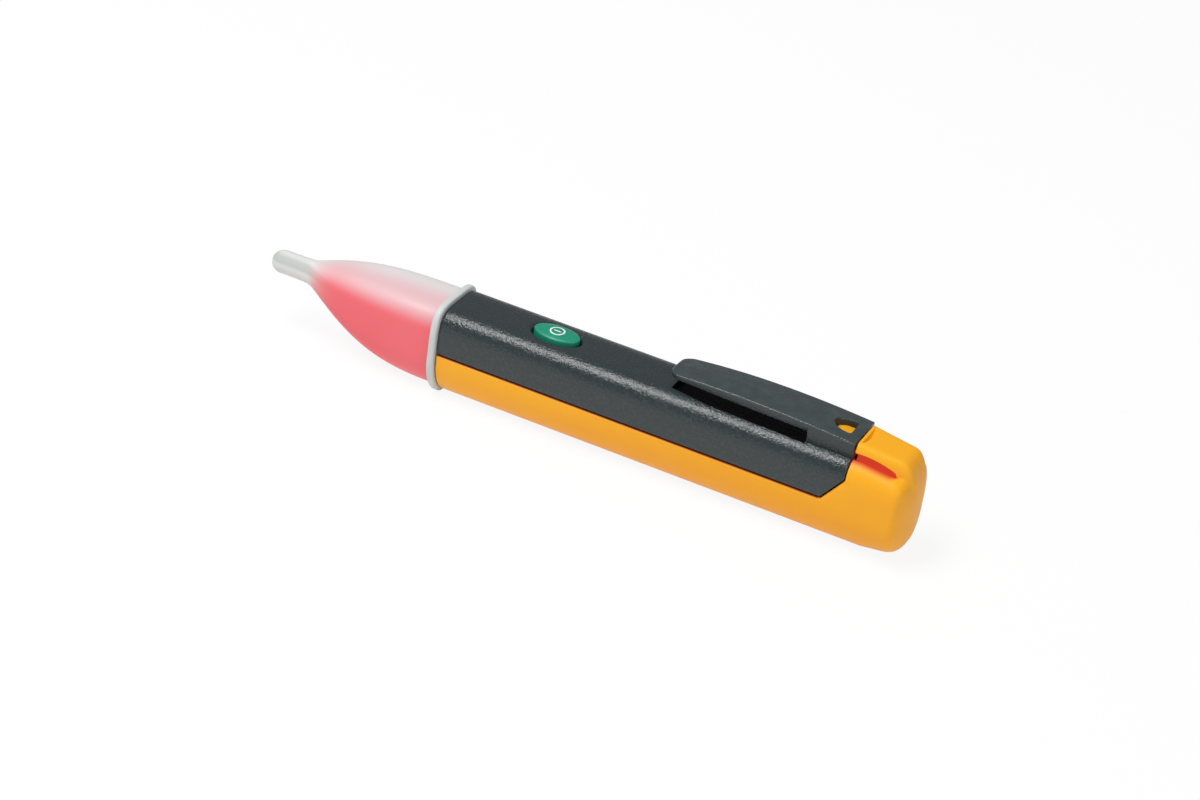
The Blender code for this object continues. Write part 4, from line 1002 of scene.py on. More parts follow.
def clip_outline(sizes, station):
    share = (sizes.clip_end - station) / (sizes.clip_end - sizes.clip_front)
    from_front = station - sizes.clip_front
    end_round = round_off(sizes.clip_end - station, CLIP_END_ROUND)
    half_width = sizes.clip_half_width - CLIP_TAPER * share**CLIP_TAPER_POWER
    half_width -= round_off(from_front, CLIP_CORNER) + end_round
    height = clip_height(sizes, station)
    run = ease(station, sizes.clip_front, ROOT_STARTS)
    arm = blend(sizes.clip_front_bottom, sizes.clip_root_bottom, run)
    arm += round_off(from_front, CLIP_LIP) / CLIP_LIP * CLIP_LIP_RISE
    sink = ease(station, ROOT_STARTS, ROOT_FULL)
    bottom = blend(arm, ROOT_BOTTOM, 1 - math.sqrt(1 - sink**2))
    top = height - round_off(from_front, CLIP_LIP) - end_round
    crown = CLIP_CROWN * half_width / sizes.clip_half_width
    side = top - crown - bottom
    edge = min(CLIP_EDGE, side * CLIP_EDGE_SHARE)
    lower = min(CLIP_LOWER_EDGE, side * CLIP_LOWER_SHARE)
    flat = half_width - edge
    foot = half_width - CLIP_UNDERCUT * (1 - sink) - lower
    half = [(0, bottom), *arc((foot, bottom + lower), lower, *CLIP_LOWER_ARC)]
    half += arc((flat, top - crown - edge), edge, *CLIP_EDGE_ARC)
    half += [(flat * rest, top - crown * rest) for rest in CLIP_CROWN_RESTS]
    return half + [(0, top - crown * CLIP_RIDGE_REST)] + mirrored(half[:0:-1])


def clip_strip(sizes):
    front = sizes.clip_front
    turn = spread(0, math.pi / 2, CLIP_CORNER_STEPS)
    stations = [front + CLIP_CORNER * (1 - math.cos(angle)) for angle in turn]
    stations += spread(stations[-1], ROOT_STARTS, CLIP_ARM_STEPS)[1:]
    stations += spread(ROOT_STARTS, ROOT_FULL, CLIP_SINK_STEPS)[1:]
    stations += spread(ROOT_FULL, sizes.clip_end - CLIP_END_ROUND, CLIP_ROOT_STEPS)[1:]
    stations += [sizes.clip_end - run for run, _ in reversed(quarter(CLIP_END_ROUND)[:-1])]
    rings = [across_ring(station, clip_outline(sizes, station)) for station in stations]
    return skin("clip_strip", rings)


def release_hole(sizes):
    """D-shaped hole: straight across at the rear, round towards the front, with a rolled rim."""
    rings = []
    for grow, height in HOLE_FLARE:
        reach = HOLE_LENGTH + grow * MM
        half_width = HOLE_HALF_WIDTH + grow * MM
        turn = math.asin(HOLE_CORNER / reach)
        corner = half_width * math.cos(turn) - HOLE_CORNER
        outline = arc((HOLE_REAR + grow * MM - HOLE_CORNER, corner), HOLE_CORNER, 0, 90)[:-1]
        for angle in spread(math.pi / 2 + turn, math.pi * 1.5 - turn, HOLE_STEPS):
            station = HOLE_REAR + grow * MM + reach * math.cos(angle)
            outline.append((station, half_width * math.sin(angle)))
        outline += [(station, -across) for station, across in reversed(outline[:ARC_STEPS])]
        rings.append(level_ring(clip_height(sizes, HOLE_REAR) + height * MM, outline))
    return skin("release_hole", rings)


class TESTER_OT_clip(bpy.types.Operator):
    """Model the pocket clip as one strip, from its free arm to its root"""

    bl_idname = "tester.clip"
    bl_label = "Pocket clip"

    def execute(self, context):
        sizes = context.scene.tester_sizes
        clip = clip_strip(sizes)
        carve(clip, tongue_slot(sizes), "DIFFERENCE")
        carve(clip, release_hole(sizes), "DIFFERENCE")
        nib = pebble("nib", (NIB_AT, 0, NIB_FLOOR + NIB_RADII[2]), NIB_RADII)
        carve(clip, nib, "UNION")
        settle(clip, charcoal_finish(context.scene.tester_colours))
        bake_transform(clip)
        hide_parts("pocket_clip", "clip_root")
        return {"FINISHED"}


# Button

BUTTON_LIP = 0.6 * MM
BUTTON_LIP_LEVELS = (17.2 * MM, 17.6 * MM, 18.3 * MM)
BUTTON_LIP_SLOPE = 0.05 * MM
BUTTON_EDGE = 0.25 * MM
STEM_RADIUS = 1.2 * MM
DOME_POWER = 2.5
DOME_STEPS = 14
SIGN_POINTS = 64
SIGN_STEPS = 2
SIGN_LIFT = 0.03 * MM
SIGN_DEPTH = 0.1 * MM
BAR_HALF_LENGTH = 0.75 * MM
BAR_STEPS = (8, 2)


def dome_height(sizes, share):
    """Height of the button's crown at a share of the way from its middle to its rim."""
    rise = sizes.button_proud - BUTTON_EDGE
    left = (1 - min(1, share) ** DOME_POWER) ** (1 / DOME_POWER)
    return sizes.top + BUTTON_EDGE + rise * left


def button_cap(sizes):
    half_length = sizes.button_length / 2
    half_width = sizes.button_width / 2
    foot, low, high = BUTTON_LIP_LEVELS
    levels = [
        (STEM_RADIUS, STEM_RADIUS, foot),
        (STEM_RADIUS, STEM_RADIUS, low - BUTTON_LIP_SLOPE),
        (half_length + BUTTON_LIP, half_width + BUTTON_LIP, low),
        (half_length + BUTTON_LIP, half_width + BUTTON_LIP, high),
        (half_length, half_width, high + BUTTON_LIP_SLOPE),
    ]
    for angle in spread(0, math.pi / 2, DOME_STEPS)[:-1]:
        share = math.cos(angle)
        levels.append((half_length * share, half_width * share, dome_height(sizes, share)))
    rings = []
    for along, across, height in levels:
        rings.append(level_ring(height, ellipse(sizes.button_at, along, across, BUTTON_POINTS)))
    return skin("button_cap", rings)


def lay_on_button(sizes, shape):
    """Drop flat print onto the button's crown and give it a little thickness."""
    for vert in shape.verts:
        along = (vert.co.x - sizes.button_at) / (sizes.button_length / 2)
        across = vert.co.y / (sizes.button_width / 2)
        vert.co.z = dome_height(sizes, math.hypot(along, across)) + SIGN_LIFT
    bmesh.ops.recalc_face_normals(shape, faces=shape.faces)
    bmesh.ops.solidify(shape, geom=list(shape.faces), thickness=SIGN_DEPTH)


def sign_ring(sizes):
    shape = bmesh.new()
    loops = []
    for radius in spread(sizes.sign_radius - sizes.sign_stroke, sizes.sign_radius, SIGN_STEPS):
        outline = ellipse(sizes.button_at, radius, radius, SIGN_POINTS)
        loops.append(ring(shape, level_ring(0, outline)))
    for near, far in zip(loops, loops[1:]):
        bmesh.ops.bridge_loops(shape, edges=near + far)
    lay_on_button(sizes, shape)
    return solid("sign_ring", shape)


def sign_bar(sizes):
    shape = bmesh.new()
    along, across = BAR_STEPS
    bmesh.ops.create_grid(shape, x_segments=along, y_segments=across, size=0.5)
    stretch = (BAR_HALF_LENGTH * 2, sizes.sign_stroke, 1)
    bmesh.ops.scale(shape, vec=stretch, verts=shape.verts)
    bmesh.ops.translate(shape, vec=(sizes.button_at, 0, 0), verts=shape.verts)
    lay_on_button(sizes, shape)
    return solid("sign_bar", shape)


class TESTER_OT_button(bpy.types.Operator):
    """Model the green button and the sign printed on it"""

    bl_idname = "tester.button"
    bl_label = "Button"

    def execute(self, context):
        sizes = context.scene.tester_sizes
        colours = context.scene.tester_colours
        cap = settle(button_cap(sizes), button_finish(colours))
        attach(cap, "button")
        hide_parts("power_button")
        white = print_finish(colours)
        for made in (sign_ring(sizes), sign_bar(sizes)):
            settle(made, white)
            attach(made, "button")
        return {"FINISHED"}


# Cells

CELL_PROFILE = (
    (0.0, 1.0),
    (1.6, 1.0),
    (1.9, 1.3),
    (1.9, 1.85),
    (4.4, 1.9),
    (4.75, 1.95),
    (5.1, 2.05),
    (5.25, 2.3),
    (5.25, 12.0),
    (5.25, 32.0),
    (5.25, 45.0),
    (5.12, 45.3),
    (4.85, 45.4),
    (4.7, 45.2),
    (4.5, 45.15),
    (0.0, 45.15),
)
CELL_STEPS = 72


def cell_solid(name):
    """Cell turned from its profile of radius and run, to fill the CAD cell's box."""
    low, high = (Vector(corner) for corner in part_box(name))
    axis_z = (low.z + high.z) / 2
    shape = bmesh.new()
    first = CELL_PROFILE[0][1]
    scale = (high.x - low.x) / (max(run for _, run in CELL_PROFILE) - first)
    verts = []
    for radius, run in CELL_PROFILE:
        along = low.x - STATION_ZERO + (run - first) * scale
        verts.append(shape.verts.new((along, 0, axis_z + radius * MM)))
    edges = [shape.edges.new(pair) for pair in zip(verts, verts[1:])]
    bmesh.ops.spin(
        shape,
        geom=verts + edges,
        cent=(0, 0, axis_z),
        axis=(1, 0, 0),
        angle=math.tau,
        steps=CELL_STEPS,
        use_merge=True,
    )
    bmesh.ops.remove_doubles(shape, verts=shape.verts, dist=BIT / 10)
    return solid(name + "_cell", shape)


class TESTER_OT_cells(bpy.types.Operator):
    """Turn the two cells"""

    bl_idname = "tester.cells"
    bl_label = "Cells"

    def execute(self, context):
        for name in ("battery_front", "battery_rear"):
            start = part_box(name)[0][0]
            finish = cell_finish(name + "_wrap", context.scene.tester_colours, start)
            cell = settle(cell_solid(name), finish, CELL_SHARP_ANGLE)
            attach(cell, "tray")
            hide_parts(name)
        return {"FINISHED"}


# Finishes

MIX_FIRST = 6
MIX_SECOND = 7
MIX_RESULT = 2
NOISE_RANGE = (0.3, 0.7)


class Finish:
    """A material under construction, read from Object coordinates."""

    def __init__(self, name):
        self.material = bpy.data.materials.new(name)
        self.material.use_nodes = True
        self.tree = self.material.node_tree
        self.shader = self.tree.nodes["Principled BSDF"]
        self.place = self.node("ShaderNodeTexCoord").outputs["Object"]

    def node(self, kind, **settings):
        made = self.tree.nodes.new(kind)
        for name, value in settings.items():
            setattr(made, name, value)
        return made

    def feed(self, target, value):
        """Link an output to a socket, or set the socket to a plain value."""
        if isinstance(value, bpy.types.NodeSocket):
            self.tree.links.new(value, target)
        elif hasattr(value, "__len__"):
            target.default_value = (*value, 1)
        else:
            target.default_value = value

    def surface(self, **values):
        for name, value in values.items():
            self.feed(self.shader.inputs[name.replace("_", " ")], value)

    def axes(self):
        split = self.node("ShaderNodeSeparateXYZ")
        self.feed(split.inputs[0], self.place)
        return split.outputs

    def noise(self, scale, detail=2.0, stretch=(1, 1, 1)):
        """Cloudy values from 0 to 1, with about that many features in a metre."""
        mapping = self.node("ShaderNodeMapping")
        self.feed(mapping.inputs["Vector"], self.place)
        mapping.inputs["Scale"].default_value = stretch
        made = self.node("ShaderNodeTexNoise")
        self.feed(made.inputs["Vector"], mapping.outputs[0])
        self.feed(made.inputs["Scale"], scale)
        self.feed(made.inputs["Detail"], detail)
        return made.outputs["Fac"]

    def ramp(self, value, low, high, start=0.0, end=1.0, soft=True):
        """Value carried from the span low to high over to the span start to end."""
        kind = "SMOOTHSTEP" if soft else "LINEAR"
        made = self.node("ShaderNodeMapRange", interpolation_type=kind)
        for socket, number in zip(made.inputs, (value, low, high, start, end)):
            self.feed(socket, number)
        return made.outputs[0]

    def span(self, along, front, rear, start=0.0, end=1.0):
        """Straight ramp between two stations, given in millimetres."""
        low = STATION_ZERO + front * MM
        high = STATION_ZERO + rear * MM
        return self.ramp(along, low, high, start, end, False)

    def calc(self, operation, first, second=0.0):
        made = self.node("ShaderNodeMath", operation=operation)
        self.feed(made.inputs[0], first)
        self.feed(made.inputs[1], second)
        return made.outputs[0]

    def product(self, *factors):
        total = factors[0]
        for factor in factors[1:]:
            total = self.calc("MULTIPLY", total, factor)
        return total

    def gloss(self, grain, low, high):
        """Roughness that follows a noise between two values."""
        self.surface(Roughness=self.ramp(grain, *NOISE_RANGE, low, high))

    def mix(self, share, first, second):
        made = self.node("ShaderNodeMix", data_type="RGBA")
        self.feed(made.inputs[0], share)
        self.feed(made.inputs[MIX_FIRST], first)
        self.feed(made.inputs[MIX_SECOND], second)
        return made.outputs[MIX_RESULT]

    def bump(self, height, strength, depth):
        made = self.node("ShaderNodeBump")
        self.feed(made.inputs["Height"], height)
        self.feed(made.inputs["Strength"], strength)
        self.feed(made.inputs["Distance"], depth)
        self.feed(self.shader.inputs["Normal"], made.outputs[0])


def shaded(colour_values, share):
    return [value * share for value in colour_values]


# Stations in the finishes are in millimetres; noises give features in a metre and detail
LENS_FADE = (-34.7, -20.0)
LENS_FADE_POWER = 5.0
LENS_RIM = (-1.9, -1.4)
LENS_FROST = (2600, 3)
LENS_GLOSS = (0.30, 0.40)
LENS_SHINE = (-16.0, -7.0, 0.04, 0.16)
LENS_BUMP = (0.12, 0.05 * MM)
GLOW_LEVELS = (17.45 * MM, 14.2 * MM)
GLOW_LEVEL_POWER = 3.4
GLOW_EDGE = (-2.0 * MM, 2.6 * MM)
GLOW_EMISSION = 0.12
# Across the pen: from the painted pink glow spill on the near side to the haze on the far side
HAZE_ACROSS = (-3.5 * MM, 3.8 * MM)
# Heights between which the tip's sides get painted shade
TIP_SHADE_TOP = (16.3 * MM, 16.95 * MM)
TIP_SHADE_BOTTOM = (14.5 * MM, 15.5 * MM)


def lens_finish(colours):
    """Frosted plastic: milky at tip and flange, lit red from inside below a soft, rising line; a
    painted pink glow spill on the near upper side and painted shade on the tip's sides.
    """
    finish = Finish("frosted_lens")
    along, across, height = finish.axes()[:3]
    fade = finish.span(along, *LENS_FADE, 1, 0)
    front = finish.calc("SUBTRACT", 1.0, finish.calc("POWER", fade, LENS_FADE_POWER))
    rear = finish.span(along, *LENS_RIM, 1, 0)
    lit = finish.product(front, rear)
    bend = finish.calc("POWER", fade, GLOW_LEVEL_POWER)
    level = finish.ramp(bend, 0, 1, *GLOW_LEVELS, False)
    below = finish.ramp(finish.calc("SUBTRACT", height, level), *GLOW_EDGE, 1, 0)
    # Painted glow spill: pink on the near upper side, fading across to the haze on the far side
    upper = finish.mix(finish.ramp(across, *HAZE_ACROSS), colours.glow_spill, colours.haze)
    # Painted shade on the tip's sides, darker between two heights
    tip_shade = finish.ramp(height, *TIP_SHADE_TOP, 1, 0)
    tip_shade = finish.product(tip_shade, finish.ramp(height, *TIP_SHADE_BOTTOM))
    unlit = finish.mix(rear, colours.rim, finish.mix(tip_shade, colours.milk, colours.milk_painted_shade))
    base = finish.mix(lit, unlit, finish.mix(below, upper, colours.glow))
    finish.surface(Base_Color=base)
    share = finish.product(lit, below)
    finish.surface(Emission_Color=finish.mix(share, (0, 0, 0), colours.glow))
    finish.surface(Emission_Strength=GLOW_EMISSION)
    finish.surface(Specular_IOR_Level=finish.span(along, *LENS_SHINE))
    frost = finish.noise(*LENS_FROST)
    finish.gloss(frost, *LENS_GLOSS)
    finish.bump(frost, *LENS_BUMP)
    return finish.material


CHARCOAL_GRAIN = (1900, 3)
CHARCOAL_CLOUD = (90, 2)
CHARCOAL_SPECKS = (0.45, 0.75)
CHARCOAL_GLOSS = (0.25, 0.30)
CHARCOAL_SHINE = 0.55
CHARCOAL_BUMP = (1.0, 0.15 * MM)
# Crest of the clip and the painted sheen on its top: the mask's depth under the crest, random
# patches in it and how much lighter it is
CREST_REACH = 21.0
CREST_HEIGHT = 24.95 * MM
SHEEN_DEPTH = (-0.75 * MM, -0.35 * MM)
SHEEN_NOISE = (420, 4)
SHEEN_PATCHES = (0.38, 0.68)
SHEEN_GAIN = 1.25
# Painted shadow in the relief under the clip: near-black colour and low shine inside the mask
WELL_EDGE = (0.01 * MM, 0.04 * MM)
WELL_FRONT = (-0.05, -0.02)
WELL_REAR = (0.05, 0.1)
WELL_TOP = (20.7 * MM, 20.8 * MM)
WELL_PAINTED_SHADOW = (0.003, 0.003, 0.003)
WELL_SHADOW_SHINE = 0.05


def clip_top_sheen(finish, along, height):
    """Mask of the painted sheen on the clip's top, which follows its arched back."""
    peak = CLIP_PEAK_AT / MM
    rise = finish.span(along, peak - CREST_REACH, peak + CREST_REACH, -1, 1)
    fall = finish.product(finish.product(rise, rise), CLIP_FALL)
    crest = finish.calc("ADD", finish.calc("SUBTRACT", height, CREST_HEIGHT), fall)
    return finish.ramp(crest, *SHEEN_DEPTH)


def clip_shade(finish, along, across, height):
    """Mask of the painted shadow in the relief under the clip's arm."""
    (front, narrow), (bend, wide), (rear, widest) = WELL_SIDE
    side = finish.span(along, front, bend, narrow * MM, wide * MM)
    side = finish.calc("ADD", side, finish.span(along, bend, rear, 0, (widest - wide) * MM))
    beyond = finish.calc("SUBTRACT", finish.calc("ABSOLUTE", across), side)
    return finish.product(
        finish.ramp(beyond, *WELL_EDGE, 1, 0),
        finish.span(along, front + WELL_FRONT[0], front + WELL_FRONT[1]),
        finish.span(along, rear + WELL_REAR[0], rear + WELL_REAR[1], 1, 0),
        finish.ramp(height, *WELL_TOP, 1, 0),
    )


def charcoal_finish(colours):
    """Dark moulding with the fine grain of a spark-eroded tool, a painted sheen on the clip's top
    and a painted shadow in the relief under the clip.
    """
    made = bpy.data.materials.get("charcoal_plastic_grain")
    if made:
        return made
    finish = Finish("charcoal_plastic_grain")
    along, across, height = finish.axes()[:3]
    grain = finish.noise(*CHARCOAL_GRAIN)
    speck = finish.ramp(grain, *CHARCOAL_SPECKS)
    base = finish.mix(speck, colours.charcoal, colours.charcoal_light)
    # Painted sheen on the clip's top, lighter in random patches
    patches = finish.ramp(finish.noise(*SHEEN_NOISE), *SHEEN_PATCHES)
    sheen_bright = shaded(colours.charcoal_sheen, SHEEN_GAIN)
    patchy_sheen = finish.mix(patches, colours.charcoal_sheen, sheen_bright)
    base = finish.mix(clip_top_sheen(finish, along, height), base, patchy_sheen)
    # Painted shadow: the relief under the clip turned near-black, with little shine
    well = clip_shade(finish, along, across, height)
    finish.surface(Base_Color=finish.mix(well, base, WELL_PAINTED_SHADOW))
    finish.surface(Specular_IOR_Level=finish.ramp(well, 0, 1, CHARCOAL_SHINE, WELL_SHADOW_SHINE))
    finish.gloss(finish.noise(*CHARCOAL_CLOUD), *CHARCOAL_GLOSS)
    finish.bump(grain, *CHARCOAL_BUMP)
    return finish.material


ORANGE_FLOW = (60, 3, (0.4, 1, 1))
ORANGE_FLOW_RANGE = (0.35, 0.7)
ORANGE_GRAIN = (3800, 2)
ORANGE_GLOSS = (0.40, 0.50)
ORANGE_SHINE = 0.28
ORANGE_BUMP = (0.12, 0.06 * MM)
EMBER_SURFACE = 0.35


def orange_base(finish, colours):
    """Satin moulding with faint flow marks."""
    flow = finish.ramp(finish.noise(*ORANGE_FLOW), *ORANGE_FLOW_RANGE)
    grain = finish.noise(*ORANGE_GRAIN)
    finish.gloss(grain, *ORANGE_GLOSS)
    finish.surface(Specular_IOR_Level=ORANGE_SHINE)
    finish.bump(grain, *ORANGE_BUMP)
    return finish.mix(flow, colours.orange, colours.orange_deep)


def lit_through(finish, colours, base, deep):
    """Mix in the red that the plastic takes where light comes through its walls."""
    ember = shaded(colours.ember, EMBER_SURFACE)
    finish.surface(Base_Color=finish.mix(deep, base, ember))
    finish.surface(Emission_Color=colours.ember)
    finish.surface(Emission_Strength=deep)


RIB_SIDE = (3.9 * MM, 4.4 * MM)
RIB_TOP = (21.3 * MM, 21.8 * MM)
RIB_FRONT = (91.6, 91.8)
RIB_REAR = (100.5, 100.9)


def latch_finish(colours):
    """Orange, with light coming through its rib inside the slit."""
    finish = Finish("orange_plastic_latch")
    along, across, height = finish.axes()[:3]
    deep = finish.product(
        finish.ramp(finish.calc("ABSOLUTE", across), *RIB_SIDE, 1, 0),
        finish.ramp(height, *RIB_TOP, 1, 0),
        finish.span(along, *RIB_FRONT),
        finish.span(along, *RIB_REAR, 1, 0),
    )
    lit_through(finish, colours, orange_base(finish, colours), deep)
    return finish.material


SLIT_SIDE = (97.0, 99.8, 5.95 * MM, 5.85 * MM)
SLIT_END = (
    (99.8, 100.8, 0, -0.5 * MM),
    (100.8, 101.2, 0, -0.8 * MM),
    (101.2, 101.3, 0, -5.0 * MM),
)
SLIT_EDGE = (-1.0 * MM, 0.8 * MM)
SLIT_FLOOR = (17.0 * MM, 17.5 * MM)
LEDGE_BOTTOM = (10.62 * MM, 10.80 * MM)
LEDGE_TOP = (11.0 * MM, 11.3 * MM)
LEDGE_END = (86.8, 87.4)


def tray_finish(colours):
    """Orange, lit through in the latch's pocket and shaded along the split line."""
    finish = Finish("orange_plastic_tray")
    along, across, height = finish.axes()[:3]
    side = finish.span(along, *SLIT_SIDE)
    for step in SLIT_END:
        side = finish.calc("ADD", side, finish.span(along, *step))
    inward = finish.calc("SUBTRACT", side, finish.calc("ABSOLUTE", across))
    pocket = finish.ramp(inward, *SLIT_EDGE)
    pocket = finish.product(pocket, finish.ramp(height, *SLIT_FLOOR))
    # Painted shade on the tray's ledge along the split line
    ledge = finish.product(
        finish.ramp(height, *LEDGE_BOTTOM),
        finish.ramp(height, *LEDGE_TOP, 1, 0),
        finish.span(along, *LEDGE_END, 1, 0),
    )
    base = finish.mix(ledge, orange_base(finish, colours), colours.seam)
    lit_through(finish, colours, base, pocket)
    return finish.material


BUTTON_GRAIN = (3000, 2)
BUTTON_CLOUD = (300, 2)
BUTTON_SHADE = 0.88
BUTTON_GLOSS = (0.38, 0.46)
BUTTON_BUMP = (0.1, 0.05 * MM)


def button_finish(colours):
    finish = Finish("green_button_satin")
    grain = finish.noise(*BUTTON_GRAIN)
    cloud = finish.ramp(finish.noise(*BUTTON_CLOUD), *NOISE_RANGE)
    deep = shaded(colours.green, BUTTON_SHADE)
    finish.surface(Base_Color=finish.mix(cloud, colours.green, deep))
    finish.gloss(grain, *BUTTON_GLOSS)
    finish.bump(grain, *BUTTON_BUMP)
    return finish.material


PRINT_NOISE = (5200, 2)
PRINT_RANGE = (0.35, 0.7)
PRINT_SHADE = 0.9
PRINT_ROUGHNESS = 0.5


def print_finish(colours):
    finish = Finish("white_print")
    thin = finish.ramp(finish.noise(*PRINT_NOISE), *PRINT_RANGE)
    grey = shaded(colours.print_white, PRINT_SHADE)
    finish.surface(Base_Color=finish.mix(thin, colours.print_white, grey))
    finish.surface(Roughness=PRINT_ROUGHNESS)
    return finish.material


# Runs along a cell from its button end
CELL_NECK = (1.1 * MM, 1.25 * MM)
CELL_FOOT = (44.25 * MM, 44.35 * MM)
CELL_BAND = (11.0 * MM, 11.2 * MM)
CELL_BRUSH = (900, 3, (0.05, 1, 1))
CELL_GLOSS = (0.26, 0.38)


def cell_finish(name, colours, start):
    """Sleeve with a band at the button end, and bare nickel at both ends."""
    finish = Finish(name)
    run = finish.calc("SUBTRACT", finish.axes()[0], start)
    sleeve = finish.ramp(run, *CELL_NECK)
    sleeve = finish.product(sleeve, finish.ramp(run, *CELL_FOOT, 1, 0))
    banded = finish.ramp(run, *CELL_BAND)
    colour_of_sleeve = finish.mix(banded, colours.band, colours.wrap)
    finish.surface(Base_Color=finish.mix(sleeve, colours.nickel, colour_of_sleeve))
    finish.surface(Metallic=finish.ramp(sleeve, 0, 1, 1, 0))
    finish.gloss(finish.noise(*CELL_BRUSH), *CELL_GLOSS)
    return finish.material


PART_DETAIL = 3
PART_RANGE = (0.3, 0.75)
PART_SHADE = 0.8
PART_BUMP = (0.1, 0.03 * MM)
BRUSHED = (0.05, 1, 1)


def part_finish(name, base, gloss, scale, metallic=0.0, stretch=(1, 1, 1)):
    """Plain finish of an inner part: a little cloud in its colour and its gloss."""
    finish = Finish(name)
    cloud = finish.noise(scale, PART_DETAIL, stretch)
    shade = shaded(base, PART_SHADE)
    finish.surface(Base_Color=finish.mix(finish.ramp(cloud, *PART_RANGE), base, shade))
    finish.gloss(cloud, *gloss)
    finish.surface(Metallic=metallic)
    finish.bump(cloud, *PART_BUMP)
    return finish.material


CONTACT_NODES = ("front_contact", "return_contact", "rear_contact", "contact_spring")
MOULDED_NODES = (
    "switch_body",
    "switch_plunger",
    "sounder",
    "controller_chip",
    "sense_resistor_1",
    "sense_resistor_2",
)


class TESTER_OT_electronics(bpy.types.Operator):
    """Give the parts inside their finishes"""

    bl_idname = "tester.electronics"
    bl_label = "Electronics and contacts"

    def execute(self, context):
        colours = context.scene.tester_colours
        black = part_finish("black_moulding_matte", colours.black, (0.45, 0.6), 1800)
        nickel = part_finish("nickel_brushed", colours.nickel, (0.22, 0.36), 1500, 1.0, BRUSHED)
        copper = part_finish("antenna_copper", colours.copper, (0.25, 0.4), 900, 1.0)
        ceramic = part_finish("capacitor_ceramic", colours.ceramic, (0.4, 0.55), 1200)
        looks = {
            "circuit_board": part_finish("board_solder_mask", colours.board, (0.3, 0.45), 400),
            "indicator_led": part_finish("lamp_clear_red", colours.lamp, (0.1, 0.2), 500),
            "sensor_antenna": copper,
            "supply_capacitor": ceramic,
        }
        looks.update(dict.fromkeys(CONTACT_NODES, nickel))
        looks.update(dict.fromkeys(MOULDED_NODES, black))
        for name, finish in looks.items():
            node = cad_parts[name]
            node.data.materials.clear()
            node.data.materials.append(finish)
        return {"FINISHED"}


# Stage

FLOOR_SIZE = 6.0
FLOOR_DROP = 0.05 * MM
CAMERA_PLACE = Vector((0.2060, -0.4902, 0.3259))
CAMERA_RIGHT = Vector((0.8859, 0.4462, 0.1267))
CAMERA_UP = Vector((-0.3295, 0.4128, 0.8491))
CAMERA_BACK = Vector((0.3266, -0.7940, 0.5128))
CAMERA_LENS = 90
CAMERA_SENSOR = 36
WHITE = (1, 1, 1)
PAPER = (30, 2)
PAPER_SHADE = 0.99
PAPER_ROUGHNESS = 0.9
LAMP_AIM = (0, 0, 0.01)
KEY_PLACE = (-0.25, -0.24, 0.75)
KEY_SIZE = (0.28, 0.58)
FILL_PLACE = (0.80, -0.45, 0.38)
FILL_SIZE = (0.6, 0.5)


def seen_ray(tree):
    """1 for rays that come from the camera, straight or by way of a mirror or glass."""
    path = tree.nodes.new("ShaderNodeLightPath")
    total = None
    for name in ("Is Camera Ray", "Is Glossy Ray", "Is Transmission Ray"):
        if total is None:
            total = path.outputs[name]
            continue
        both = tree.nodes.new("ShaderNodeMath")
        both.operation = "MAXIMUM"
        tree.links.new(total, both.inputs[0])
        tree.links.new(path.outputs[name], both.inputs[1])
        total = both.outputs[0]
    return total


def floor_finish(stage):
    """Pale floor that keeps a soft shadow, with some plain white for the camera."""
    finish = Finish("floor_pale")
    tree = finish.tree
    paper = finish.noise(*PAPER)
    shade = shaded(stage.floor, PAPER_SHADE)
    finish.surface(Base_Color=finish.mix(paper, stage.floor, shade), Roughness=PAPER_ROUGHNESS)
    finish.surface(Specular_IOR_Level=0.0)
    white = tree.nodes.new("ShaderNodeEmission")
    white.inputs["Color"].default_value = (*WHITE, 1)
    both = tree.nodes.new("ShaderNodeMixShader")
    share = finish.product(seen_ray(tree), stage.floor_white)
    tree.links.new(share, both.inputs[0])
    tree.links.new(finish.shader.outputs[0], both.inputs[1])
    tree.links.new(white.outputs[0], both.inputs[2])
    tree.links.new(both.outputs[0], tree.nodes["Material Output"].inputs["Surface"])
    return finish.material


def make_sky(stage):
    """Even white light, plain white to the camera."""
    world = bpy.data.worlds.new("studio")
    world.use_nodes = True
    bpy.context.scene.world = world
    tree = world.node_tree
    background = tree.nodes["Background"]
    background.inputs["Color"].default_value = (*WHITE, 1)
    strength = tree.nodes.new("ShaderNodeMapRange")
    path = tree.nodes.new("ShaderNodeLightPath")
    tree.links.new(path.outputs["Is Camera Ray"], strength.inputs["Value"])
    strength.inputs["To Min"].default_value = stage.sky
    strength.inputs["To Max"].default_value = 1
    tree.links.new(strength.outputs[0], background.inputs["Strength"])


def make_lamp(name, place, aim, size, power):
    lamp = bpy.data.lights.new(name, "AREA")
    lamp.shape = "RECTANGLE"
    lamp.size, lamp.size_y = size
    lamp.energy = power
    made = bpy.data.objects.new(name, lamp)
    back = (Vector(place) - Vector(aim)).normalized()
    right = (Vector((1, 0, 0)) - back * back.x).normalized()
    turn = Matrix((right, back.cross(right), back)).transposed().to_4x4()
    made.matrix_world = Matrix.Translation(place) @ turn
    bpy.context.scene.collection.objects.link(made)


def make_camera():
    lens = bpy.data.cameras.new("camera")
    lens.lens = CAMERA_LENS
    lens.sensor_width = CAMERA_SENSOR
    camera = bpy.data.objects.new("camera", lens)
    turn = Matrix((CAMERA_RIGHT, CAMERA_UP, CAMERA_BACK)).transposed().to_4x4()
    camera.matrix_world = Matrix.Translation(CAMERA_PLACE) @ turn
    bpy.context.scene.collection.objects.link(camera)
    bpy.context.scene.camera = camera


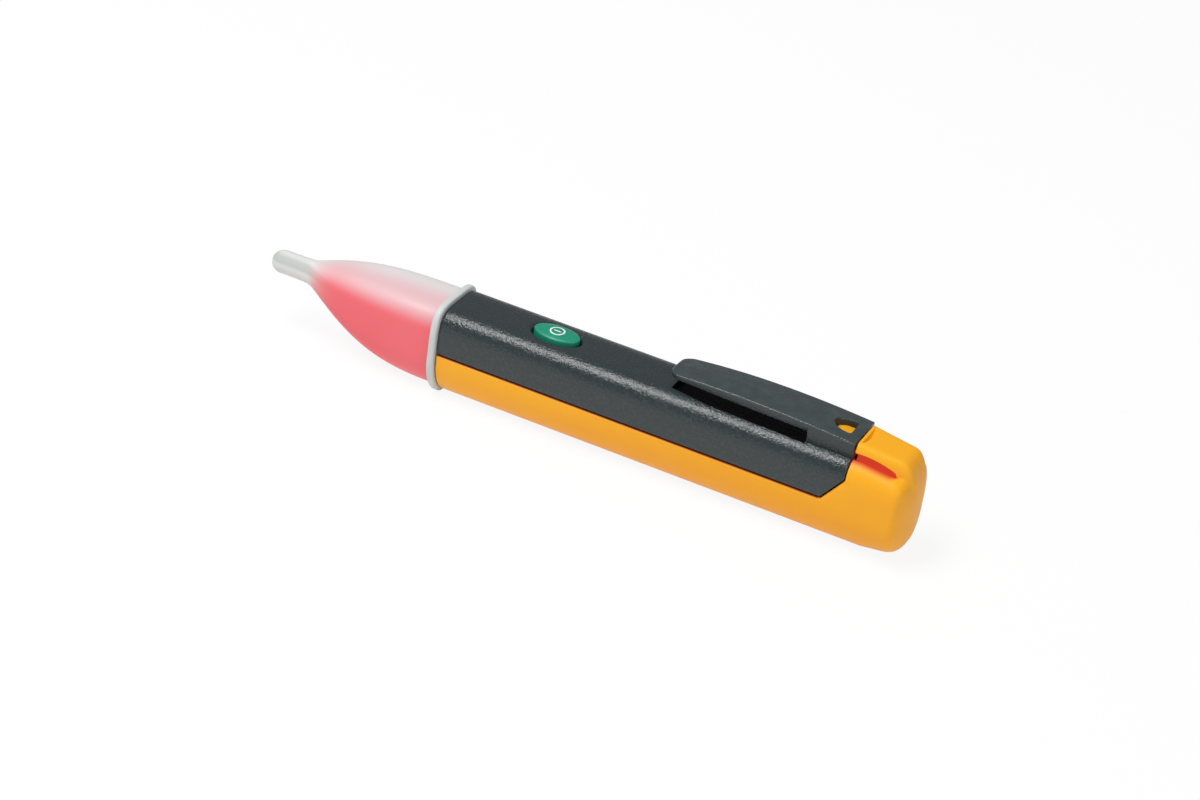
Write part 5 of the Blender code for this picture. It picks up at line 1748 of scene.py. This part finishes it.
class TESTER_OT_stage(bpy.types.Operator):
    """Set the floor, the studio light and the camera"""

    bl_idname = "tester.stage"
    bl_label = "Stage"

    def execute(self, context):
        stage = context.scene.tester_stage
        context.scene.view_settings.view_transform = "Standard"
        shape = bmesh.new()
        bmesh.ops.create_grid(shape, x_segments=1, y_segments=1, size=FLOOR_SIZE / 2)
        bmesh.ops.translate(shape, vec=(0, 0, -FLOOR_DROP), verts=shape.verts)
        mesh = bpy.data.meshes.new("floor")
        shape.to_mesh(mesh)
        shape.free()
        floor = bpy.data.objects.new("floor", mesh)
        context.scene.collection.objects.link(floor)
        mesh.materials.append(floor_finish(stage))
        make_sky(stage)
        make_lamp("key", KEY_PLACE, LAMP_AIM, KEY_SIZE, stage.key)
        make_lamp("fill", FILL_PLACE, LAMP_AIM, FILL_SIZE, stage.fill)
        make_camera()
        return {"FINISHED"}


class TESTER_PT_panel(bpy.types.Panel):
    """Sizes, colours and pieces of the tester"""

    bl_idname = "TESTER_PT_panel"
    bl_label = "Voltage tester"
    bl_space_type = "VIEW_3D"
    bl_region_type = "UI"
    bl_category = "Tester"

    def draw(self, context):
        for operator in OPERATORS:
            self.layout.operator(operator.bl_idname)
        scene = context.scene
        for group in (scene.tester_sizes, scene.tester_colours, scene.tester_stage):
            column = self.layout.column()
            for name in group.bl_rna.properties.keys():
                if name not in ("rna_type", "name"):
                    column.prop(group, name)


OPERATORS = (
    TESTER_OT_nose,
    TESTER_OT_cover,
    TESTER_OT_tray,
    TESTER_OT_latch,
    TESTER_OT_clip,
    TESTER_OT_button,
    TESTER_OT_cells,
    TESTER_OT_electronics,
    TESTER_OT_stage,
)
CLASSES = (TesterSizes, TesterColours, TesterStage, *OPERATORS, TESTER_PT_panel)


def register():
    for each in CLASSES:
        bpy.utils.register_class(each)
    bpy.types.Scene.tester_sizes = bpy.props.PointerProperty(type=TesterSizes)
    bpy.types.Scene.tester_colours = bpy.props.PointerProperty(type=TesterColours)
    bpy.types.Scene.tester_stage = bpy.props.PointerProperty(type=TesterStage)


def unregister():
    del bpy.types.Scene.tester_stage
    del bpy.types.Scene.tester_colours
    del bpy.types.Scene.tester_sizes
    for each in reversed(CLASSES):
        bpy.utils.unregister_class(each)


def main():
    register()
    bpy.ops.tester.nose()
    bpy.ops.tester.cover()
    bpy.ops.tester.tray()
    bpy.ops.tester.latch()
    bpy.ops.tester.clip()
    bpy.ops.tester.button()
    bpy.ops.tester.cells()
    bpy.ops.tester.electronics()
    bpy.ops.tester.stage()


if __name__ == "__main__":
    main()
